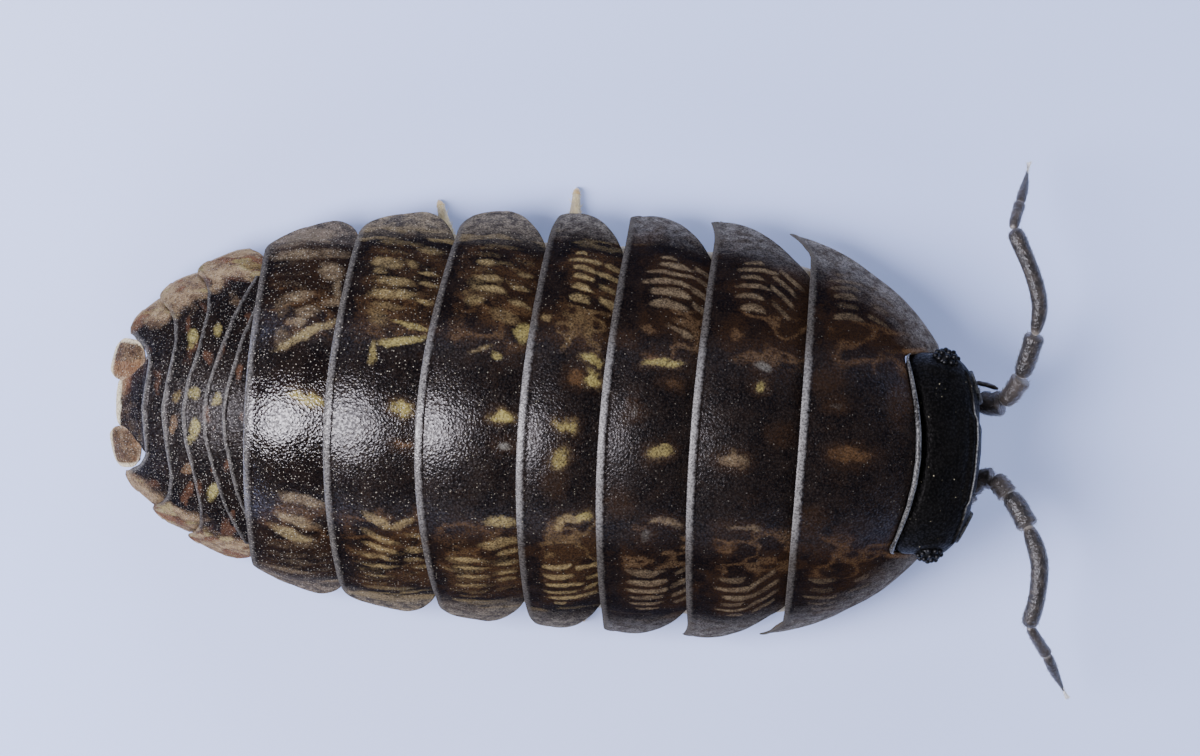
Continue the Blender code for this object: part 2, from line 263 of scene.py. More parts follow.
# Back plates: rear margins on the midline and how they sweep and turn at the sides
platePlan = {
    "rears": [4.96, 2.84, 1.05, -0.53, -2.53, -4.32, -5.89],
    "sweeps": [0.0, 0.26, 0.36, 0.44, 0.68, 0.5, 0.26],
    "frontCorners": [-0.45, 1.5, 0.9, 0.78, 0.75, 0.55, 0.3],
    "rearCorners": [-0.45, -0.12, 0.0, 0.14, 0.34, 0.34, 0.3],
    # where the front plate meets the head: share of the arch, and station
    "neck": [(0, 7.31), (0.15, 7.28), (0.3, 7.2), (0.45, 7.06), (0.565, 6.93), (0.6, 7.0),
             (0.672, 7.25), (0.762, 7.45), (0.86, 7.6), (0.925, 7.66), (1, 7.6)],
    # share of the arch where the side corners begin, and how sharply they turn
    "frontStarts": [0.76, 0.76, 0.76, 0.76, 0.77, 0.8, 0.88],
    "frontTurns": [1.6, 1.6, 1.6, 1.6, 1.7, 1.7, 2.0],
    "rearStarts": [0.87, 0.86, 0.82, 0.8, 0.86, 0.87, 0.87],
    "rearTurns": [1.6, 1.6, 1.6, 2.0, 2.0, 2.0, 2.0],
    # how wide the grey rim of each side is
    "margins": [2.1, 2.2, 1.7, 1.7, 2.1, 1.6, 1.6],
    # radius of the rounding at the front and rear corners, on half an arch of this length
    "frontRounds": [0.0, 0.3, 0.35, 0.35, 0.3, 0.3, 0.25],
    "rearRounds": [0.0, 0.0, 0.05, 0.12, 0.25, 0.3, 0.3],
    "halfArc": 5.6,
    # how far a plate reaches under the next one, and the shares of the arch between which that ends
    "overlap": 0.42, "overlapEnds": (0.62, 0.8),
    # columns, and how much closer they lie at the side edges, where the corners are round
    "columns": 471, "spread": 1.42,
    # rows in all and in the lip; a plate's usual length and its lip's
    "rows": (65, 15), "lengths": (2.6, 0.2),
    # thickness, within and at the edges, and how far in from the side and the rear it is full
    "thick": 0.11, "thinnest": 0.025, "thinAt": (0.35, 0.12),
    # lift of the front plate and of the others: at the seam ahead, its rise to the rear, the arching
    # between and its power, and how far the hidden part is tucked down
    "lifts": [(-0.03, 0.09, 0.06, 1.2, 0.0), (-0.06, 0.12, 0.1, 1.15, 0.08)],
    # the rounded rim along the rear edge: width and height; unevenness: broad and fine
    "bead": (0.17, 0.02), "waves": (0.03, 0.008),
    # a shallow groove round the arch: place, width and depth; beyond it the side turns out
    "groove": (4.9, 0.35, 0.035), "flange": (5.2, 6.2, 0.03),
}


def cornerRound(index, u, end):
    radius = platePlan[end + "Rounds"][index]
    share = max(radius, 0.001) / platePlan["halfArc"]
    return radius * (1 - np.sqrt(1 - clamp01((np.abs(u) - 1 + share) / share) ** 2))


def cornerShare(index, u, end):
    start = platePlan[end + "Starts"][index]
    return clamp01((np.abs(u) - start) / (1 - start)) ** platePlan[end + "Turns"][index]


# A smoothed line through knots, for an edge that is read off place by place.
def softCurve(u, knots, blur=0.012):
    places, values = zip(*knots)
    total = 0.0
    for k in range(-4, 5):
        near = np.clip(np.abs(u) + k * blur / 2, places[0], places[-1])
        total = total + np.interp(near, places, values)
    return total / 9


def rearMargin(index, u):
    plan = platePlan
    return plan["rears"][index] + plan["sweeps"][index] * acrossShare(np.abs(u)) ** 2


# The rear edge of the plate in front, which is where this plate comes into view.
def seamAhead(index, u):
    if index == 0:
        return softCurve(u, platePlan["neck"])
    return rearEdge(index - 1, u)


def frontEdge(index, u):
    if index == 0:
        return softCurve(u, platePlan["neck"])
    hidden = platePlan["overlap"] * (1 - smooth(*platePlan["overlapEnds"], np.abs(u)))
    corner = platePlan["frontCorners"][index] * cornerShare(index, u, "front")
    return rearMargin(index - 1, u) + hidden - corner - cornerRound(index, u, "front")


def rearEdge(index, u):
    corner = platePlan["rearCorners"][index] * cornerShare(index, u, "rear")
    return rearMargin(index, u) + corner + cornerRound(index, u, "rear")


# Markings of the back plates, in millimetres: "side" is the distance round the arch from the midline
# and "ahead" the distance in front of the plate's own rear margin
marks = {
    # distances round the arch of the ladder's strokes and of the strokes ahead of it
    "rows": [4.37, 4.12, 3.87, 3.6, 3.3, 2.98], "duty": 0.22,
    "frontRows": [4.05, 3.72, 3.36, 2.98], "frontGirth": 0.075,
    # from where to where round the arch the bars, the ladder and the outer patches come in and go
    "barZone": (1.5, 1.9, 2.75, 3.0), "ladderZone": (1.5, 2.2, 4.35, 4.6),
    "outerZone": (4.5, 4.72, 5.1, 5.5),
    # the brown between the marks of some plates, counted from 0
    "warmPlates": (3, 4, 5), "warm": 0.26,
    # what a spot is made of beside its dark ring, if not of its own tone: a rust spot is only the ring
    "mixtures": {"green": {"yellow": 0.62, "tan": 0.6}, "pink": {"tan": 0.75, "orange": 0.45},
                 "rust": {}},
    # how much broader and fainter than measured the pale strokes are
    "broader": {"left": 1.18, "right": 1.3}, "strokeStrength": 0.92,
    # plate: ladder from and to, front strokes from and to, their slant, strength, looseness
    "plates": [
        (0.48, 1.00, 1.25, 1.62, 0.5, 0.38, 0.5),
        (0.62, 1.28, 1.3, 1.78, 0.95, 0.7, 0.5),
        (0.56, 1.4, 1.46, 1.86, 0.65, 0.82, 0.6),
        (0.52, 1.14, 1.2, 1.58, 0.35, 1.00, 0.7),
        (0.4, 1.16, 1.22, 1.72, 0.3, 0.25, 1.3),
        (0.42, 1.22, 1.3, 1.72, 0.25, 0.2, 1.2),
        (0.3, 1.1, 1.16, 1.62, 0.3, 0.2, 1.6),
    ],
    # plate, place along the body, place round the arch, length, width, turn in degrees, tone, strength
    "spots": [
        (6, -4.71, 0.46, 0.8, 0.24, 8, "yellow", 1.0),
        (5, -2.79, 0.35, 0.2, 0.34, 0, "yellow", 0.95),
        (5, -2.98, 0.38, 0.16, 0.22, 0, "yellow", 0.6),
        (5, -2.75, -0.35, 0.34, 0.12, 5, "orange", 0.9),
        (4, -0.85, 0.33, 0.48, 0.2, 0, "yellow", 1.0),
        (4, -0.78, -0.22, 0.26, 0.2, 0, "pale", 0.8),
        (3, 0.42, 0.25, 0.42, 0.26, 0, "green", 0.9),
        (3, 0.34, -0.36, 0.3, 0.52, 15, "green", 0.75),
        (3, 0.83, 1.62, 0.36, 0.24, 15, "yellow", 0.75),
        (3, 0.86, 1.2, 0.24, 0.32, 0, "yellow", 0.9),
        (3, 0.58, 1.22, 0.32, 0.4, 0, "orange", 0.75),
        (3, 0.69, -1.63, 0.72, 0.2, 6, "tan", 0.95),
        (3, 0.86, -1.6, 0.34, 0.24, 0, "yellow", 0.65),
        (3, 0.38, -1.8, 0.2, 0.5, 10, "tan", 0.75),
        (3, 0.25, -0.88, 0.26, 0.5, 0, "rust", 0.9),
        (3, -0.1, 2.45, 0.24, 0.26, 0, "pink", 0.7),
        (3, 0.55, 1.95, 0.3, 0.24, 0, "rust", 0.8),
        (2, 2.27, -0.17, 0.48, 0.28, -10, "green", 0.75),
        (2, 2.25, 1.61, 0.85, 0.16, -8, "yellow", 0.75),
        (2, 2.02, 1.66, 0.3, 0.2, 0, "orange", 0.75),
        (2, 2.43, 1.24, 0.34, 0.18, 0, "orange", 0.45),
        (2, 2.44, -1.62, 0.7, 0.18, 12, "tan", 0.7),
        (2, 2.08, -1.95, 0.22, 0.42, 0, "pale", 0.35),
        (2, 1.52, -1.23, 0.28, 0.52, 0, "rust", 1.0),
        (2, 1.75, 0.62, 0.2, 0.24, 0, "pale", 0.3),
        (2, 2.55, 2.35, 0.75, 0.16, 22, "tan", 0.6),
        (2, 1.45, 2.05, 0.3, 0.24, 0, "rust", 0.8),
        (1, 3.7, -0.22, 0.55, 0.26, 4, "pink", 0.75),
        (1, 4.14, 1.65, 0.3, 0.24, 0, "pale", 0.6),
        (1, 4.17, 1.25, 0.2, 0.18, 0, "yellow", 0.6),
        (1, 4.6, 0.32, 0.28, 0.22, 0, "rust", 1.0),
        (1, 4.01, -1.59, 0.7, 0.14, 8, "tan", 0.55),
        (1, 3.52, 2.35, 0.34, 0.62, 20, "rust", 1.0),
        (1, 4.32, 2.2, 0.42, 0.6, 0, "rust", 0.9),
        (0, 6.04, 0.00, 0.8, 0.34, 0, "orange", 0.75),
        (0, 5.75, -0.02, 0.4, 0.24, 0, "orange", 0.55),
        (0, 5.42, 1.45, 0.45, 0.4, 0, "rust", 1.0),
        (0, 5.6, 0.95, 0.22, 0.2, 0, "pale", 0.22),
        (0, 5.3, -1.35, 0.45, 0.5, 0, "rust", 0.9),
        (0, 6.95, 1.15, 0.25, 0.85, 10, "rust", 0.8),
    ],
    # pale strokes of the three rear plates: place along and round, length, width, turn, tan, yellow
    "strokes": {
        6: [(-4.75, 1.77, 1.4, 0.17, -37, 1.0, 0.35), (-5.2, 1.6, 0.35, 0.45, 0, 0.5, 0),
            (-4.93, 2.66, 0.62, 0.24, -25, 0.8, 0), (-4.73, 2.3, 0.55, 0.22, -25, 0.85, 0),
            (-4.94, 2.02, 0.4, 0.2, -20, 0.8, 0), (-5.22, 2.35, 0.3, 0.5, 0, 0.35, 0),
            (-4.34, 3.5, 0.42, 0.5, 0, 0.9, 0), (-4.22, 3.05, 0.18, 0.55, 0, 0.6, 0),
            (-4.28, 2.62, 0.4, 0.2, -15, 0.85, 0), (-4.95, 3.97, 1.1, 0.36, -8, 0.75, 0),
            (-4.3, 4.15, 0.7, 0.3, -5, 0.6, 0), (-5.1, 4.45, 0.8, 0.26, -10, 0.55, 0),
            (-4.66, -1.68, 0.95, 0.19, 24, 0.9, 0), (-4.78, -2.18, 0.92, 0.2, 29, 0.95, 0.1),
            (-4.85, -2.58, 1.00, 0.24, 35, 0.85, 0.25), (-4.62, -2.8, 0.4, 0.32, 30, 0.6, 0.1),
            (-4.9, -4.07, 1.1, 0.2, 12, 0.6, 0), (-4.75, -3.6, 0.7, 0.15, 15, 0.35, 0)],
        5: [(-3.24, 3.73, 0.62, 0.28, 0, 0.85, 0), (-3.07, 3.18, 0.78, 0.2, -5, 0.9, 0),
            (-3.12, 2.83, 0.92, 0.24, -8, 0.9, 0.1), (-3.35, 3.45, 0.35, 0.18, 0, 0.5, 0),
            (-3.38, 2.26, 0.5, 0.55, 0, 0.35, 0), (-3.2, 2.5, 0.7, 0.15, -5, 0.5, 0),
            (-2.73, 2.12, 0.72, 0.14, 10, 0.7, 0.5), (-2.88, 1.75, 0.95, 0.15, -16, 0.6, 0.75),
            (-3.43, 1.42, 0.18, 0.42, 0, 0.5, 0.4), (-2.44, 3.56, 0.38, 0.12, 0, 0.8, 0),
            (-2.4, 3.23, 0.38, 0.12, 0, 0.8, 0), (-2.48, 2.76, 0.38, 0.13, 0, 0.8, 0.1),
            (-2.75, 3.75, 0.2, 0.24, 0, 0.5, 0), (-3.05, 4.51, 0.9, 0.2, 0, 0.45, 0),
            (-2.41, 4.35, 0.5, 0.24, 0, 0.55, 0),
            (-3.15, -1.98, 0.7, 0.18, 38, 0.9, 0), (-2.68, -2.08, 0.5, 0.17, -29, 0.9, 0),
            (-3.13, -2.46, 0.8, 0.15, 35, 0.85, 0), (-3.12, -2.77, 0.75, 0.12, 27, 0.8, 0),
            (-3.1, -3.07, 0.7, 0.11, 20, 0.75, 0), (-3.05, -3.36, 0.7, 0.11, 10, 0.75, 0),
            (-3.16, -3.77, 0.6, 0.11, 5, 0.6, 0), (-2.46, -2.44, 0.35, 0.13, 20, 0.6, 0),
            (-2.44, -2.88, 0.38, 0.12, 12, 0.75, 0), (-2.43, -3.2, 0.38, 0.11, 8, 0.75, 0),
            (-2.29, -3.47, 0.38, 0.11, 5, 0.7, 0), (-2.9, -4.41, 1.00, 0.2, 3, 0.55, 0)],
        4: [(-1.35, 3.84, 0.42, 0.2, 0, 0.8, 0), (-1.27, 3.38, 0.62, 0.15, -8, 0.85, 0),
            (-1.23, 3.09, 0.66, 0.15, 0, 0.85, 0), (-1.5, 2.78, 0.42, 0.26, -20, 0.5, 0.1),
            (-0.93, 2.47, 0.65, 0.26, 15, 0.4, 0), (-0.54, 2.12, 0.36, 0.38, 0, 0.5, 0.75),
            (-1.3, 1.68, 0.5, 0.09, -22, 0.7, 0.1), (-1.02, 1.55, 0.22, 0.14, 0, 0.3, 0.7),
            (-0.55, 3.64, 0.34, 0.11, 0, 0.75, 0), (-0.63, 2.82, 0.42, 0.13, 15, 0.8, 0),
            (-0.6, 3.25, 0.38, 0.11, 5, 0.7, 0), (-1.00, 4.5, 0.8, 0.18, 0, 0.3, 0),
            (-0.76, -1.89, 0.6, 0.22, 10, 0.8, 0.3), (-1.34, -2.9, 0.7, 0.12, 4, 0.85, 0),
            (-1.3, -3.16, 0.7, 0.11, 3, 0.85, 0), (-1.29, -3.5, 0.66, 0.11, 0, 0.85, 0),
            (-1.28, -3.82, 0.6, 0.1, 0, 0.75, 0), (-0.77, -2.45, 0.8, 0.18, -9, 0.85, 0.1),
            (-0.57, -2.72, 0.45, 0.12, -10, 0.8, 0), (-0.62, -3.08, 0.45, 0.11, -5, 0.8, 0),
            (-0.61, -3.41, 0.42, 0.11, 0, 0.8, 0), (-0.6, -3.65, 0.4, 0.1, 0, 0.7, 0),
            (-0.95, -4.81, 0.9, 0.18, 0, 0.4, 0)],
    },
}


def softSpot(x, y, wide, tall, turn):
    c = math.cos(math.radians(turn))
    d = math.sin(math.radians(turn))
    along = (x * c - y * d) / (wide / 2)
    across = (x * d + y * c) / (tall / 2)
    return 1 - smooth(0.45, 1.4, np.sqrt(along ** 2 + across ** 2))


def raiseTone(tones, key, amount):
    tones[key] = np.maximum(tones[key], amount)


# Amounts of tan, yellow, orange, rust and pale at each point of a back plate.
def plateMarks(index, s, arc, ahead):
    side = np.abs(arc)
    left = arc > 0
    seed = 11 + 5 * index
    start, end, frontStart, frontEnd, slant, strength, loose = marks["plates"][index]
    x = s + 20 * left
    wander = layeredNoise(x * 2.6, arc * 2.6, seed) - 0.5
    ripple = layeredNoise(x * 7.0, arc * 7.0, seed + 3) - 0.5
    sideW = side + (0.16 * wander + 0.07 * ripple) * loose
    aheadW = ahead + (0.35 * wander + 0.12 * ripple)
    tan = np.zeros_like(s)
    for r, centre in enumerate(marks["rows"]):
        chance = rowChance(r + 10 * left, seed)
        chanceB = rowChance(r + 10 * left, seed + 9)
        gap = 0.25 + 0.02 * r
        low = start + 0.14 * (chance - 0.5) + (0.12 if r == 0 else 0.0)
        high = end + 0.22 * (chanceB - 0.5) - (0.25 if r == 0 else 0.0)
        middle = (low + high) / 2
        half = (high - low) / 2
        alongShare = np.abs((aheadW - middle) / half)
        thick = gap * marks["duty"] * (1.2 - 0.55 * alongShare ** 2) * (0.8 + 0.45 * chance)
        bow = 0.06 * alongShare ** 2
        acrossPart = np.abs(sideW - centre + bow) / np.maximum(thick, 0.02)
        stroke = (1 - smooth(0.5, 1.45, acrossPart)) * (1 - smooth(0.76, 1.1, alongShare))
        tan = np.maximum(tan, stroke * (0.6 + 0.4 * chanceB))
    for r, centre in enumerate(marks["frontRows"]):
        chance = rowChance(r + 10 * left, seed + 17)
        middle = (frontStart + frontEnd) / 2
        half = (frontEnd - frontStart) / 2 * (0.8 + 0.4 * chance)
        alongShare = np.abs((aheadW - middle) / half)
        centreHere = centre - slant * (ahead - middle)
        acrossPart = np.abs(sideW - centreHere) / marks["frontGirth"]
        stroke = (1 - smooth(0.5, 1.5, acrossPart)) * (1 - smooth(0.75, 1.1, alongShare))
        tan = np.maximum(tan, 0.8 * stroke * (0.6 + 0.4 * chance))
    # thin winding bars inside the ladder, and a broken, cloudy texture over every pale mark
    patches = 1 - 5.5 * np.abs(layeredNoise(x * 1.5 + 5, side * 2.3, seed + 30) - 0.5)
    cloudy = 0.5 + 0.75 * layeredNoise(x * 9.0, arc * 9.0, seed + 60)
    bars = zone(sideW, marks["barZone"]) * smooth(start - 0.1, start + 0.15, aheadW)
    bars = bars * smooth(0.35, 0.95, patches)
    tan = np.maximum(tan, bars * (0.12 + 0.22 * loose))
    tan = np.minimum(1, tan * strength * cloudy)
    ladder = zone(sideW, marks["ladderZone"]) * smooth(start - 0.22, start + 0.05, aheadW)
    brown = layeredNoise(x * 1.7, side * 2.0, seed + 40)
    rust = ladder * (0.2 + 0.6 * smooth(0.36, 0.62, brown))
    rust = np.maximum(rust, smooth(0.6, 0.78, brown) * (0.2 + 0.5 * smooth(1.0, 2.0, side)))
    outerNoise = layeredNoise(x * 1.5, side * 4.5, seed + 50)
    outer = zone(sideW, marks["outerZone"]) * smooth(0.47, 0.62, outerNoise)
    tan = np.maximum(tan, outer * (0.12 + 0.16 * max(0, index - 2)))
    tones = {"tan": tan, "yellow": 0 * tan, "orange": 0.45 * bars, "rust": rust, "pale": 0 * tan}
    if index in marks["warmPlates"]:
        warm = ladder * smooth(0.3, 0.6, layeredNoise(x * 3.2, arc * 3.8, seed + 80))
        raiseTone(tones, "orange", marks["warm"] * warm)
    fray = layeredNoise(x * 13.0, arc * 13.0, seed + 70) - 0.5
    strokeX = s + 0.14 * wander + 0.08 * ripple
    strokeY = arc + 0.1 * wander - 0.09 * ripple + 0.02 * fray
    for place, placeRound, length, width, turn, tanAmount, yellow in marks["strokes"].get(index, []):
        broad = width * marks["broader"]["right" if placeRound < 0 else "left"]
        spot = softSpot(strokeX - place, strokeY - placeRound, length, broad, turn) * cloudy
        raiseTone(tones, "tan", marks["strokeStrength"] * tanAmount * spot)
        raiseTone(tones, "yellow", marks["strokeStrength"] * yellow * spot)
    spotX = s + 0.14 * wander + 0.18 * ripple + 0.06 * fray
    spotY = arc + 0.14 * wander - 0.2 * ripple + 0.06 * fray
    for plate, place, placeRound, length, width, turn, tone, amount in marks["spots"]:
        if plate != index:
            continue
        dx, dy = spotX - place, spotY - placeRound
        spot = amount * softSpot(dx, dy, length, width, turn)
        raiseTone(tones, "rust", 0.7 * softSpot(dx, dy, length + 0.35, width + 0.3, turn))
        if tone in ("yellow", "green"):
            halo = 0.4 * amount * softSpot(dx, dy, length + 0.16, width + 0.14, turn)
            raiseTone(tones, "tan", halo * cloudy)
        spot = spot ** 1.3 * np.minimum(1, cloudy + 0.05)
        for mixed, share in marks["mixtures"].get(tone, {tone: 1.0}).items():
            raiseTone(tones, mixed, share * spot)
    tones["rust"] = np.minimum(1, tones["rust"])
    return tones


# Distance round the arch from the midline, in millimetres, signed as u is.
def arcLength(s, u):
    steps = 60
    width = halfWidth(s) / math.sin(body["archAngle"])
    height = (ridgeHeight(s) - edgeHeight(s)) / (1 - math.cos(body["archAngle"]))
    total = np.zeros_like(u)
    for k in range(steps):
        angle = body["archAngle"] * u * (k + 0.5) / steps
        total += np.sqrt((width * np.cos(angle)) ** 2 + (height * np.sin(angle)) ** 2)
    return total * body["archAngle"] * u / steps


# Shares from front to rear, with closer rows in the lip.
def sheetRows(count, lipCount, length, lip):
    plain = np.linspace(0, 1 - lip / length, count - lipCount, endpoint=False)
    return np.concatenate([plain, np.linspace(1 - lip / length, 1, lipCount)])


# Height of the rounded rim along a plate's rear edge, as a share.
def seamBead(ahead, wide):
    share = clamp01(ahead / wide)
    return np.sqrt(np.maximum(0, 1 - (2 * share - 1) ** 2)) * (ahead < wide)


# Cuticle: waxed chitin, dark brown and mottled with the tan of muscle seen through the shell. Fine
# scales break its gloss up: their size and relief and the gaps of the pale dots are in millimetres
chitinIor = 1.56
shell = {
    "base": "080607", "brown": "1B1410", "rust": "23170E", "tan": "584A38", "tanPale": "71624A",
    "yellow": "887C46", "orange": "4A3520", "pale": "6A675E", "margin": "76726E", "marginTan": "7C6F60",
    # the lips' paler tone, used where the seams cross the back, is a painted highlight
    "marginDark": "4E4842", "lip": "3F3B37", "lipPaleAndPaintedHighlight": "7A7773", "speck": "A9A184", "inner": "5E5448",
    "scale": 0.045, "relief": 0.011, "speckGap": 0.058, "gloss": 0.58, "sideGloss": 0.02,
    "sideRoughness": 0.8, "sheen": "E6DFDA",
}


# specks is the share of the surface's scale cells that hold a pale dot.
def cuticleMaterial(name, specks, marginTan=0.0, roughness=0.34, coat=0.6, shell=shell):
    material, add = newMaterial(name)
    place = add("ShaderNodeTexCoord")
    amounts = {}
    for key in ("rust", "tan", "orange", "yellow", "pale", "margin", "lip", "inside", "matt"):
        amounts[key] = add("ShaderNodeAttribute", attribute_name=key)
    noises = {}
    for key, scale, detail in (("patch", 2400.0, 5.0), ("streak", 5200.0, 3.0), ("fine", 26000.0, 2.0)):
        noises[key] = add("ShaderNodeTexNoise",
                          {"Vector": (place, "Object"), "Scale": scale, "Detail": detail})
    ranges = {}
    for key, source, low, high, near, far in (
            ("patch", "patch", 0.42, 0.68, 0, 1), ("streak", "streak", 0.35, 0.65, 0, 1),
            ("grain", "fine", 0.34, 0.66, 0.4, 1.35), ("dust", "fine", 0.45, 0.7, 0, 1),
            ("uneven", "fine", 0.3, 0.7, -0.05, 0.07)):
        ranges[key] = add("ShaderNodeMapRange",
                          {"Value": (noises[source], 0), 1: low, 2: high, 3: near, 4: far})
    # two-tone colours: the tan under the shell, the lips at the seams, whose paler tone on the back is a
    # painted highlight, and the rims of the sides
    tones = {}
    for key, share, below, above in (("tan", (ranges["streak"], 0), "tan", "tanPale"),
                                     ("lip", (amounts["matt"], 2), "lipPaleAndPaintedHighlight", "lip"),
                                     ("margin", marginTan, "margin", "marginTan")):
        tones[key] = add("ShaderNodeMix", {0: share, 6: shell[below], 7: shell[above]},
                         data_type="RGBA")
    tones["margin"] = add("ShaderNodeMix",
                          {0: (ranges["streak"], 0), 6: (tones["margin"], 2), 7: shell["marginDark"]},
                          data_type="RGBA")
    dusty = add("ShaderNodeMath", {0: (ranges["patch"], 0), 1: 0.5, 2: (ranges["dust"], 0)},
                operation="MULTIPLY_ADD", use_clamp=True)
    colour = add("ShaderNodeMix", {0: (dusty, 0), 6: shell["base"], 7: shell["brown"]},
                 data_type="RGBA")
    # each mark lies over the one before, its edge broken up by the grain of the scales
    for key in ("rust", "orange", "tan", "yellow", "margin", "pale", "lip"):
        broken = add("ShaderNodeMath", {0: (amounts[key], 2), 1: (ranges["grain"], 0)},
                     operation="MULTIPLY")
        share = add("ShaderNodeMapRange", {"Value": (broken, 0), 1: 0.05, 2: 0.95})
        tone = (tones[key], 2) if key in tones else shell[key]
        colour = add("ShaderNodeMix", {0: (share, 0), 6: (colour, 2), 7: tone}, data_type="RGBA")
    # pale dots, one in the middle of each chosen cell, some fainter than others
    cells = add("ShaderNodeTexVoronoi",
                {"Vector": (place, "Object"), "Scale": 1 / (shell["speckGap"] * mm)})
    chance = add("ShaderNodeSeparateColor", {"Color": (cells, "Color")})
    chosen = add("ShaderNodeMapRange", {"Value": (chance, 0), 1: specks, 2: 0.5 * specks})
    strength = add("ShaderNodeMapRange", {"Value": (chance, 1), 3: 0.25, 4: 1.0})
    dot = add("ShaderNodeMapRange", {"Value": (cells, "Distance"), 1: 0.26, 2: 0.12})
    for factor in (chosen, strength):
        dot = add("ShaderNodeMath", {0: (dot, 0), 1: (factor, 0)}, operation="MULTIPLY")
    for share, tone in (((dot, 0), shell["speck"]), ((amounts["inside"], 2), shell["inner"])):
        colour = add("ShaderNodeMix", {0: share, 6: (colour, 2), 7: tone}, data_type="RGBA")
    scales = add("ShaderNodeTexVoronoi",
                 {"Vector": (place, "Object"), "Scale": 1 / (shell["scale"] * mm)}, feature="SMOOTH_F1")
    relief = add("ShaderNodeMath", {0: (scales, "Distance"), 1: -1.3, 2: (noises["fine"], 0)},
                 operation="MULTIPLY_ADD")
    bump = add("ShaderNodeBump",
               {"Height": (relief, 0), "Strength": 0.6, "Distance": shell["relief"] * mm})
    # the wax and its gloss fade down the sides, where the scales stand up more
    granule = add("ShaderNodeMapRange",
                  {"Value": (scales, "Distance"), 1: 0.15, 2: 0.55, 3: 1.35, 4: 0.3})
    finish = {}
    for key, near, far in (("rough", roughness, shell["sideRoughness"]),
                           ("gloss", shell["gloss"], shell["sideGloss"]), ("coat", coat, 0.0)):
        finish[key] = add("ShaderNodeMapRange", {"Value": (amounts["matt"], 2), 3: near, 4: far})
    for key in ("gloss", "coat"):
        finish[key] = add("ShaderNodeMath", {0: (finish[key], 0), 1: (granule, 0)},
                          operation="MULTIPLY", use_clamp=True)
    rough = add("ShaderNodeMath", {0: (finish["rough"], 0), 1: (ranges["uneven"], 0)}, operation="ADD")
    skin = add("ShaderNodeBsdfPrincipled", {
        "Base Color": (colour, 2), "Roughness": (rough, 0), "IOR": chitinIor, "Normal": (bump, 0),
        "Specular IOR Level": (finish["gloss"], 0), "Specular Tint": shell["sheen"],
        "Coat Weight": (finish["coat"], 0), "Coat Roughness": 0.8 * roughness, "Coat Normal": (bump, 0)})
    add("ShaderNodeOutputMaterial", {"Surface": (skin, 0)})
    return material


print("back plates")
# share of pale dots and their colour, roughness, wax, gloss, and the lip's tones at the sides and on
# the back, the paler one on the back a painted highlight, for each plate, from the front one
plateFinish = [(0.16, "5C574E", 0.38, 0.1, 0.46, "46423D", "7A7773"),
               (0.18, "635E54", 0.38, 0.15, 0.54, "46423D", "7A7773"),
               (0.22, "6E685C", 0.36, 0.2, 0.58, "46423D", "7A7773"),
               (0.28, "787262", 0.33, 0.35, 0.64, "46423D", "7A7773"),
               (0.4, "888170", 0.3, 0.55, 0.74, "4C4843", "6E6B67"),
               (0.6, "A39C8A", 0.27, 0.65, 0.6, "524E48", "625F5B"),
               (1.0, "A8A191", 0.155, 1.0, 0.74, "4E4A45", "5C5955")]
warmTones = {"tan": "615338", "tanPale": "7B6A46", "margin": "807C75", "marginTan": "8C7E68"}
plateMaterials = []
for index, (specks, speck, rough, coat, gloss, lip, lipPaleAndPaintedHighlight) in enumerate(plateFinish):
    own = dict(shell, speck=speck, gloss=gloss, lip=lip, lipPaleAndPaintedHighlight=lipPaleAndPaintedHighlight)
    if index in marks["warmPlates"]:
        own.update(warmTones)
    # the rims of the sides turn from grey to tan towards the rear
    plateMaterials.append(cuticleMaterial("WaxedChitinPlate%d" % (index + 1), specks, roughness=rough,
                                          coat=coat, marginTan=clamp01((index - 2) / 3.0), shell=own))


# A sheet over the arch between two edges: stations, shares of the arch, points, distances ahead of the
# rear edge, round the arch from the midline and to the side edge, and how thick it is, as a share.
def archSheet(u, front, rear, v, thinAt):
    s = front[None, :] + (rear - front)[None, :] * v[:, None]
    uu = np.broadcast_to(u, s.shape)
    t, z = archPoint(s, uu)
    ahead = s - rear[None, :]
    arc = arcLength(s, uu)
    edge = arcLength(s, np.full_like(uu, u[-1])) - np.abs(arc)
    thick = smooth(0.0, thinAt[0], edge) * smooth(0.0, thinAt[1], ahead)
    return s, uu, toWorld(s, t, z), ahead, arc, edge, thick


